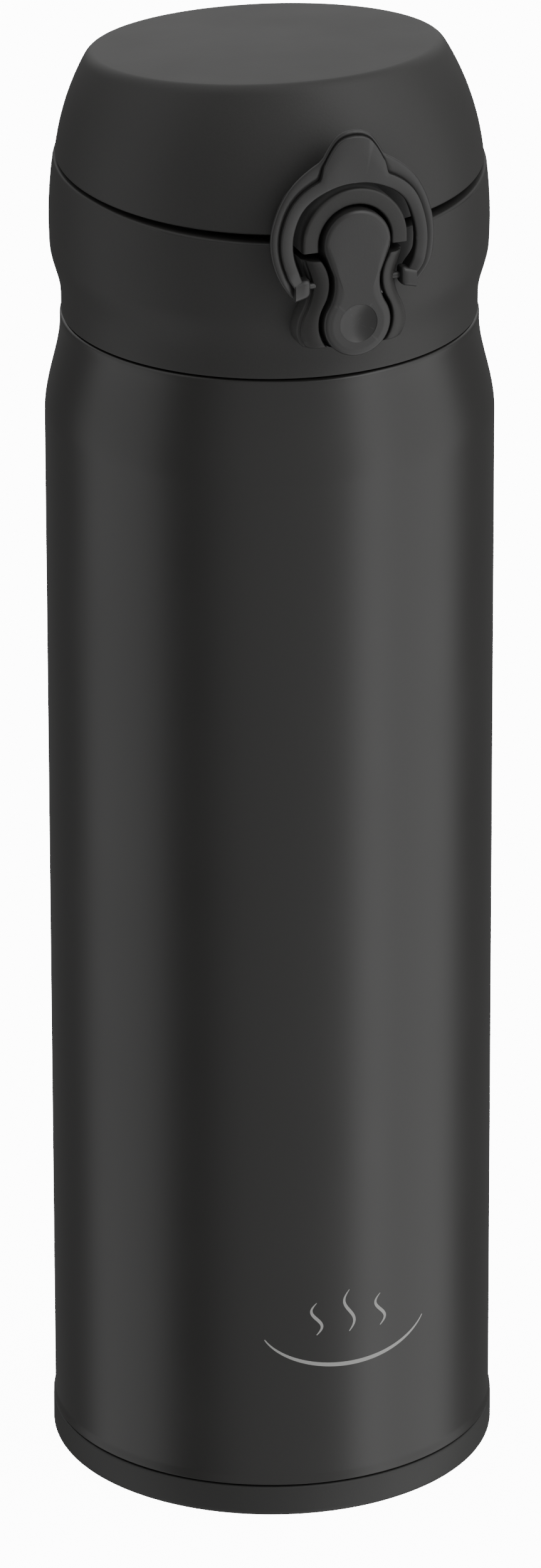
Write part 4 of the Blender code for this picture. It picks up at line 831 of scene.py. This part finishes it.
def lid_parts():
    """Meridians of the lid: from the top's middle over the crease, down the wall, round the lip and
    back up inside. The lower edge and the top are tilted planes, so each meridian has its own ends."""
    room_half = EAR_HALF + 0.5 * MM
    step = math.asin(room_half / LID_RADIUS)
    even = np.linspace(0, math.pi, 110)
    even = even[np.abs(even - (math.pi - step)) > 0.006]
    half = np.sort(np.concatenate([even, [math.pi - step - 2e-4, math.pi - step + 2e-4]]))
    angle = np.concatenate([half, 2 * math.pi - half[-2:0:-1]])
    sin = np.sin(angle)
    cos = np.cos(angle)

    def edge_of(plane, inset):
        radius = np.full_like(angle, LID_RADIUS)
        for _ in range(12):
            height = plane(radius * sin, -radius * cos)
            radius = lid_wall_radius(height, inset)
        return radius, height

    def lower(x, y):
        edge = PARTING + PARTING_SLOPE * y
        over = HINGE_Z + knuckle_gap(np.minimum(y, HINGE_Y))
        return np.where((np.abs(x) < room_half) & (y > 0), np.maximum(edge, over), edge)

    def top(x, y):
        return PARTING + LID_HEIGHT - LID_TOP_SLOPE * y

    def under(x, y):
        return top(x, y) - LID_WALL

    low_r, low_z = edge_of(lower, 0.0)
    crease_r, crease_z = edge_of(top, 0.0)
    in_low_r = edge_of(lower, LID_WALL)[0]
    in_top_r, in_top_z = edge_of(under, LID_WALL)
    loops = []

    def ring(radius, height):
        loops.append(np.stack([radius * sin, -radius * cos, height], axis=-1))

    dome = 0.35 * MM
    for share in np.concatenate([[0.0], np.linspace(0.12, 1, 16)]):
        radius = (crease_r - LID_CREASE) * share
        ring(radius, top(0, -radius * cos) + dome * (1 - share ** 2))
    wall_start_z = crease_z - LID_CREASE * 1.35
    wall_start_r = lid_wall_radius(wall_start_z)
    flat_r = crease_r - LID_CREASE
    flat_z = top(0, -flat_r * cos)
    for t in np.linspace(0, 1, 9)[1:-1]:
        ring((1 - t)**2 * flat_r + 2 * t * (1 - t) * crease_r + t**2 * wall_start_r,
             (1 - t)**2 * flat_z + 2 * t * (1 - t) * crease_z + t**2 * wall_start_z)
    lip = 0.45 * MM
    for share in np.linspace(0, 1, 26):
        z = wall_start_z + (low_z + lip - wall_start_z) * share
        ring(lid_wall_radius(z), z)
    for a in np.radians(np.linspace(0, 90, 6))[1:]:
        ring(low_r - lip * (1 - math.cos(a)), low_z + lip * (1 - math.sin(a)))
    ring(in_low_r + lip, low_z)
    ring(in_low_r, low_z + lip)
    for share in np.linspace(0.1, 1, 10):
        z = low_z + lip + (in_top_z - low_z - lip) * share
        ring(lid_wall_radius(z, LID_WALL), z)
    for share in np.linspace(0.9, 0, 6):
        radius = in_top_r * share
        ring(radius, under(0, -radius * cos))
    return [sheet_part(np.stack(loops), wrap=True)]


def arch_part():
    """The horseshoe over the button: a rounded section carried up one leg, round and down the other."""
    leg = 0.9 * MM
    turn = np.radians(np.linspace(0, 180, 61))
    root = lid_wall_radius(ARCH_Z + ARCH_OUTER) - 0.3 * MM
    crisp = 0.3 * MM
    soft = 0.4 * MM
    section = [(ARCH_INNER, root)]
    for a in np.radians(np.linspace(0, 90, 6)):
        section.append((ARCH_INNER + crisp * (1 - math.cos(a)), ARCH_FACE - crisp * (1 - math.sin(a))))
    for a in np.radians(np.linspace(90, 0, 7)):
        section.append((ARCH_OUTER - soft * (1 - math.cos(a)), ARCH_FACE - soft * (1 - math.sin(a))))
    section.append((ARCH_OUTER, root))
    section = np.array(section)
    right = [np.stack([section[:, 0], -section[:, 1], np.full(len(section), ARCH_Z - drop)], axis=-1)
             for drop in (leg, leg - 0.12 * MM)]
    left = [loop * np.array([-1.0, 1.0, 1.0]) for loop in right[::-1]]
    bend = [np.stack([section[:, 0] * math.cos(a), -section[:, 1], ARCH_Z + section[:, 0] * math.sin(a)],
                     axis=-1) for a in turn]
    return loft_part(np.stack(right + bend + left))


def lid_web(side):
    """The lid knuckle's web: from the knuckle it leans in and dies into the lid's wall."""
    rows = np.linspace(-0.6 * MM, 7.0 * MM, 14)
    z = HINGE_Z + rows
    wall = lid_wall_radius(z) - 0.9 * MM
    outward = wall + (HINGE_Y + KNUCKLE - wall) * (1 - ease(rows / (6.6 * MM)))
    off_axis = np.minimum(rows, KNUCKLE * 0.7)
    outward = np.minimum(outward, HINGE_Y + np.sqrt(np.clip(KNUCKLE ** 2 - off_axis ** 2, 0, None)))
    x0 = SPRING_ROOM_HALF + 0.05 * MM
    x1 = LID_KNUCKLE_HALF - 0.05 * MM
    loops = []
    for height, reach, inward in zip(z, outward, np.minimum(wall, HINGE_Y) - 0.5 * MM):
        loop = rounded_box((x0, inward), (x1, max(reach, inward + 0.8 * MM)), 0.3 * MM, 4)
        loops.append(np.stack([loop[:, 0], loop[:, 1], np.full(len(loop), height)], axis=-1))
    part = loft_part(np.stack(loops))
    return part if side > 0 else mirrored_part(part)


lid_knuckle = rod_part(SPRING_ROOM_HALF, LID_KNUCKLE_HALF, KNUCKLE, HINGE_Y, HINGE_Z, 0.3 * MM)
lid_pieces = [arch_part(), lid_web(1), lid_web(-1), lid_knuckle, mirrored_part(lid_knuckle)]
piece("lid_body", lid_parts() + lid_pieces,
      case_plastic, "lid", "black_plastic", "lid_shell", sharp=40.0)


# --- mouthpiece, liner and seal -------------------------------------------------------------------
def spout_profile():
    """A tube with a round lip and a flange that stands on its seal."""
    inner = 7.9 * MM
    outer = 9.5 * MM
    lip = (outer - inner) / 2
    flange_low = DECK_TOP + 1.2 * MM
    flange_top = flange_low + 1.2 * MM
    return np.concatenate([
        [(inner, SPOUT_LOW)], arc_points(inner + lip, SPOUT_TOP - lip, lip, 180, 0, 15),
        arc_points(outer + 0.5 * MM, flange_top + 0.5 * MM, 0.5 * MM, 180, 270, 5),
        arc_points(SPOUT_FLANGE - 0.3 * MM, flange_top - 0.3 * MM, 0.3 * MM, 90, 0, 4),
        [(SPOUT_FLANGE, flange_low), (outer, flange_low), (outer, SPOUT_LOW)]])


piece("drinking_spout", [turned_part(spout_profile(), 128, (0.0, SPOUT_Y), closed=True)], spout_plastic,
      "stopper", "spout_plastic", "spout")


def liner_parts():
    """The lid's liner: a disc with a soft edge and a ring that holds the seal."""
    low = LINER_TOP - 1.6 * MM
    edge = 0.4 * MM
    ring = SEAL_EDGE + 0.3 * MM
    disc = np.concatenate([[(0.0, LINER_TOP)],
                           arc_points(LINER_EDGE - edge, LINER_TOP - edge, edge, 90, 0, 5),
                           arc_points(LINER_EDGE - edge, low + edge, edge, 0, -90, 5), [(0.0, low)]])
    lip = 0.35 * MM
    holder = np.concatenate([[(ring, low + 0.6 * MM), (ring + 1.3 * MM, low + 0.6 * MM)],
                             arc_points(ring + 1.3 * MM - lip, LINER_LOW + lip, lip, 0, -90, 4),
                             arc_points(ring + lip, LINER_LOW + lip, lip, -90, -180, 4)])
    return [turned_part(disc), turned_part(holder, 128, (0.0, SPOUT_Y), closed=True)]


piece("lid_lining", liner_parts(), spout_plastic, "lid", "spout_plastic", "lid_liner")


def seal_profile():
    """The silicone pad under the lid: a disc with a raised bead above the mouthpiece's lip."""
    edge = 0.5 * MM
    bead = arc_points(8.7 * MM, SEAL_LOW + 0.5 * MM, 0.5 * MM, 0, -180, 7)
    return np.concatenate([[(0.0, SEAL_TOP)], arc_points(SEAL_EDGE - edge, SEAL_TOP - edge, edge, 90, 0, 5),
                           [(SEAL_EDGE, SEAL_LOW + 0.6 * MM), (SEAL_EDGE - 0.2 * MM, SEAL_LOW + 0.5 * MM)],
                           bead, [(0.0, SEAL_LOW + 0.5 * MM)]])


piece("mouth_seal", [turned_part(seal_profile(), 128, (0.0, SPOUT_Y))], silicone, "lid", "silicone",
      "lid_gasket")


# --- lock ring ------------------------------------------------------------------------------------
def ring_sizes(angle):
    """Inner edge, crest's outer edge and outer edge at an angle from the top, by smooth curves."""
    away = np.degrees(np.abs(angle))
    inner = smooth_curve(np.array([0, 25, 50, 70, 90, 108, 120, 131.0]),
                         np.array([9.25, 9.4, 9.65, 9.35, 9.15, 8.95, 8.95, 9.0]), away)
    tab = ((0, 17.05), (5, 16.88), (9.2, 16.36), (12.5, 15.6), (15.7, 14.8), (18.5, 14.15), (21.5, 13.75))
    rail = ((26, 13.58), (33, 13.42), (45, 13.18), (55, 12.88), (68, 12.56), (80, 12.4), (90, 12.22),
            (103, 12.0), (115, 11.72), (131, 11.4))
    outer = smooth_curve(*np.array(tab + rail).T, away)
    rim = 1.15 - 0.40 * ease((30.0 - away) / 14.0)
    crest = np.minimum(inner + 1.8 + 0.15 * np.cos(angle), outer - rim)
    blend = ease((28.0 - away) / 8.0)
    crest = crest + (outer - rim - crest) * blend
    return inner * MM, crest * MM, outer * MM


def ring_part():
    """A stepped section carried round the ring: back, round inner edge, crest, step down, flange.

    It leans back toward the lid by a smooth step of its height over the pivot."""
    angle = np.radians(np.concatenate([np.linspace(-128.5, -30, 80), np.linspace(-30, 30, 81)[1:-1],
                                       np.linspace(30, 128.5, 80)]))
    inner, crest, outer = ring_sizes(angle)
    across = np.abs(outer * np.sin(angle))
    away = np.degrees(np.abs(angle))
    tip = ease((away - 104.0) / 24.0)
    thick = 0.25 * ease((across - 8.6 * MM) / (1.6 * MM)) + 0.73 * ease((away - 98.0) / 22.0)
    back = RING_BACK + (RAIL_BACK - RING_BACK) * thick
    face = RING_FACE - 0.35 * MM * ease((away - 10) / 60.0) - 1.0 * MM * tip
    flange = face - 0.65 * MM
    section = [(inner + 0.15 * MM, back)]
    soft = 0.35 * MM
    for a in np.radians(np.linspace(0, 90, 6)):
        section.append((inner + soft * (1 - math.cos(a)), face - soft * (1 - math.sin(a))))
    section.append(((inner + soft + crest) / 2, face + 0.02 * MM))
    for a in np.radians(np.linspace(90, 10, 5)):
        section.append((crest - 0.2 * MM * (1 - math.cos(a)), face - 0.2 * MM * (1 - math.sin(a))))
    section.append((crest + 0.05 * MM, flange - 0.12 * MM))
    section.append((crest + 0.22 * MM, flange - 0.02 * MM))
    section.append(((crest + outer) / 2, flange))
    for a in np.radians(np.linspace(90, 0, 5)):
        section.append((outer - 0.4 * MM * (1 - math.cos(a)), flange - 0.4 * MM * (1 - math.sin(a))))
    section.append((outer - 0.1 * MM, back))
    rows = []
    for radius, reach in section:
        height = RING_Z + radius * np.cos(angle)
        lean = RING_LEAN * ease((height - RING_PIVOT_Z + 3.0 * MM) / (12.0 * MM))
        rows.append(np.stack([radius * np.sin(angle), lean - reach, height], axis=-1))
    points = np.stack(rows, axis=1)
    middle = points.mean(axis=1, keepdims=True)
    closing = 1 - 0.35 * ease((away - 126.0) / 2.5)
    return loft_part(middle + (points - middle) * closing[:, None, None])


def ring_stub():
    """The rounded inward foot of the right side, over its pivot: a rounded box that grows to full size."""
    low = RING_PIVOT_Z - 1.3 * MM
    high = RING_PIVOT_Z + 1.5 * MM
    loop = rounded_box((RAIL_BACK + 0.1 * MM, low), (RING_FACE - 1.15 * MM, high), 0.7 * MM)
    middle = loop.mean(axis=0)
    loops = []
    for along, size in zip((0.0, 0.15, 0.5, 1.0, 2.2), (0.80, 0.93, 1.0, 1.0, 1.0)):
        reach, height = (middle + (loop - middle) * size).T
        loops.append(np.stack([np.full(len(loop), STUB_START + along * MM), -reach,
                               height - STUB_FALL * along * MM], axis=-1))
    return loft_part(np.stack(loops))


def ring_pin():
    """The right side's short round pivot, on the ring's axis."""
    reach = BODY_RADIUS + PIVOT_REACH
    return rod_part(5.6 * MM, 8.0 * MM, PIVOT_RADIUS, -reach, RING_PIVOT_Z, 0.1 * MM, 24)


stub = ring_stub()
pivot = ring_pin()
piece("lock_bail", [ring_part(), stub, mirrored_part(stub), pivot, mirrored_part(pivot)], lock_plastic,
      "ring", "lock_plastic", "lock_ring", sharp=50.0)


# --- printed mark ---------------------------------------------------------------------------------
def ribbon(across, height, half_width):
    """A thin raised line on the body: the path is moved sideways along its own normal."""
    step = np.stack([np.gradient(across), np.gradient(height)], axis=-1)
    step /= np.linalg.norm(step, axis=1, keepdims=True)
    side = np.stack([-step[:, 1], step[:, 0]], axis=-1) * np.reshape(half_width, (-1, 1))
    line = np.stack([across, height], axis=-1)
    edges = [line + side, line - side]
    section = [(edges[0], -0.06), (edges[0], 0.012), (edges[1], 0.012), (edges[1], -0.06)]
    loops = []
    for edge, lift in section:
        radius = BODY_RADIUS + lift * MM
        angle = edge[:, 0] / BODY_RADIUS
        loops.append(np.stack([radius * np.sin(angle), -radius * np.cos(angle), edge[:, 1]], axis=-1))
    return loft_part(np.stack(loops, axis=1))


def mark_parts():
    """A generic picture of a warm drink: a bowl-shaped line with three wavy curls over it."""
    turn = np.radians(np.linspace(200, 340, 60))
    across = BOWL_HALF * np.cos(turn)
    height = MARK_Z + 0.4 * MM + BOWL_DEPTH * np.sin(turn)
    parts = [ribbon(across, height, 0.32 * MM * np.sin(np.linspace(0.25, math.pi - 0.25, 60)))]
    climb = np.linspace(0, 1, 50)
    for x0, size in ((-5.0 * MM, 4.0 * MM), (0.0, 5.2 * MM), (5.0 * MM, 4.0 * MM)):
        parts.append(ribbon(x0 + 0.8 * MM * np.sin(climb * 2 * math.pi),
                            MARK_Z - 1.6 * MM + size * climb * 1.3,
                            0.24 * MM * np.sin(0.3 + climb * (math.pi - 0.5))))
    return parts


piece("base_print", mark_parts(), print_ink, "flask", "steel")


# --- floor, light and camera ----------------------------------------------------------------------
FLOOR_GLOW = 12.0
FLOOR_FLAT = 12.0
FLOOR_RISE = 6.0
FLOOR_TOP = 30.0
FILL = 0.12
BANDS = (("right_card", 58.0, 31.0, 1.2), ("right_strip", 31.0, 9.0, 0.8), ("left_card", -103.0, 27.0, 0.78),
         ("front_card", -8.0, 42.0, 0.45))
TOP_GLOW = 0.76
ROOF_WAY = (0.235, 0.63, 0.74)
KEY_SIZE = 0.8
KEY_POWER = 2.8
KEY_PLACE = Vector((0.55, -0.85, 1.1))
KEY_AIM = Vector((0.0, 0.0, 0.15))


def make_floor():
    """A plain pale bowl: flat under the flask, rising far away. It glows, but lights nothing."""
    profile = np.concatenate([[(0.0, 0.0), (2.0, 0.0), (6.0, 0.0), (FLOOR_FLAT, 0.0)],
                              arc_points(FLOOR_FLAT, FLOOR_RISE, FLOOR_RISE, -85, 0, 16),
                              [(FLOOR_FLAT + FLOOR_RISE, FLOOR_TOP)]])
    points, quads = turned_part(profile, 64)
    mesh = bpy.data.meshes.new("floor")
    mesh.from_pydata(points.tolist(), [], quads.tolist())
    mesh.shade_smooth()
    mat = bpy.data.materials.new("pale_floor")
    mat.use_nodes = True
    shader = mat.node_tree.nodes["Principled BSDF"]
    shader.inputs["Base Color"].default_value = (0.90, 0.90, 0.90, 1.0)
    shader.inputs["Roughness"].default_value = 0.8
    shader.inputs["Specular IOR Level"].default_value = 0.1
    shader.inputs["Emission Color"].default_value = (1.0, 1.0, 1.0, 1.0)
    shader.inputs["Emission Strength"].default_value = FLOOR_GLOW
    mesh.materials.append(mat)
    obj = bpy.data.objects.new("floor", mesh)
    bpy.context.scene.collection.objects.link(obj)
    obj.visible_glossy = False
    obj.visible_diffuse = False
    obj.visible_shadow = False


def soft_card(tree, name, way, toward, edge, full, power):
    """A glow that grows by a smooth step of the cosine between two directions, from edge to full."""
    near = node(tree, "ShaderNodeVectorMath", operation="DOT_PRODUCT", label=name)
    tree.links.new(way, near.inputs[0])
    near.inputs[1].default_value = toward
    soft = node(tree, "ShaderNodeMapRange", interpolation_type="SMOOTHSTEP")
    tree.links.new(near.outputs["Value"], soft.inputs["Value"])
    soft.inputs["From Min"].default_value = edge
    soft.inputs["From Max"].default_value = full
    soft.inputs["To Max"].default_value = power
    return soft.outputs["Result"]


def make_world():
    """A dim room with tall soft cards: each card is a smooth bump round its own compass direction."""
    world = bpy.data.worlds.new("studio")
    world.use_nodes = True
    tree = world.node_tree
    way = node(tree, "ShaderNodeTexCoord").outputs["Generated"]
    flat = node(tree, "ShaderNodeVectorMath", operation="MULTIPLY")
    tree.links.new(way, flat.inputs[0])
    flat.inputs[1].default_value = (1.0, 1.0, 0.0)
    unit = node(tree, "ShaderNodeVectorMath", operation="NORMALIZE")
    tree.links.new(flat.outputs["Vector"], unit.inputs[0])
    total = FILL
    for name, bearing, half, power in BANDS:
        angle = math.radians(bearing)
        band = soft_card(tree, name, unit.outputs["Vector"], (math.sin(angle), -math.cos(angle), 0.0),
                         math.cos(math.radians(half * 1.25)), math.cos(math.radians(half * 0.6)), power)
        total = math_node(tree, "ADD", band, total)
    roof = soft_card(tree, "roof_card", way, ROOF_WAY, 0.45, 0.85, TOP_GLOW)
    tree.links.new(math_node(tree, "ADD", roof, total), tree.nodes["Background"].inputs["Strength"])
    tree.nodes["Background"].inputs["Color"].default_value = (1.0, 1.0, 1.0, 1.0)
    bpy.context.scene.world = world


def make_key():
    """One large soft box high on the right, which models the small shapes of the lock."""
    light = bpy.data.lights.new("key", "AREA")
    light.shape = "RECTANGLE"
    light.size = KEY_SIZE
    light.size_y = KEY_SIZE
    light.energy = KEY_POWER
    obj = bpy.data.objects.new("key", light)
    bpy.context.scene.collection.objects.link(obj)
    obj.location = KEY_PLACE
    aim = KEY_AIM - obj.location
    obj.rotation_euler = aim.to_track_quat("-Z", "Y").to_euler()
    obj.visible_camera = False


CAMERA_SIDE = math.radians(20.5)
CAMERA_AWAY = 1.42427
CAMERA_HEIGHT = 0.71522
CAMERA_PITCH = math.radians(66.763)
CAMERA_ROLL = -0.00237
CAMERA_LENS = 242.74


def make_camera():
    """A long lens to the left of the front, turned about Z, pitched about X, then rolled a little."""
    lens = bpy.data.cameras.new("camera")
    lens.lens = CAMERA_LENS
    lens.sensor_width = 36.0
    obj = bpy.data.objects.new("camera", lens)
    bpy.context.scene.collection.objects.link(obj)
    obj.location = (-CAMERA_AWAY * math.sin(CAMERA_SIDE), -CAMERA_AWAY * math.cos(CAMERA_SIDE),
                    CAMERA_HEIGHT)
    turn = Matrix.Rotation(-CAMERA_SIDE, 3, "Z") @ Matrix.Rotation(CAMERA_PITCH, 3, "X")
    obj.rotation_euler = (turn @ Matrix.Rotation(CAMERA_ROLL, 3, "Z")).to_euler()
    bpy.context.scene.camera = obj


make_floor()
make_world()
make_key()
make_camera()
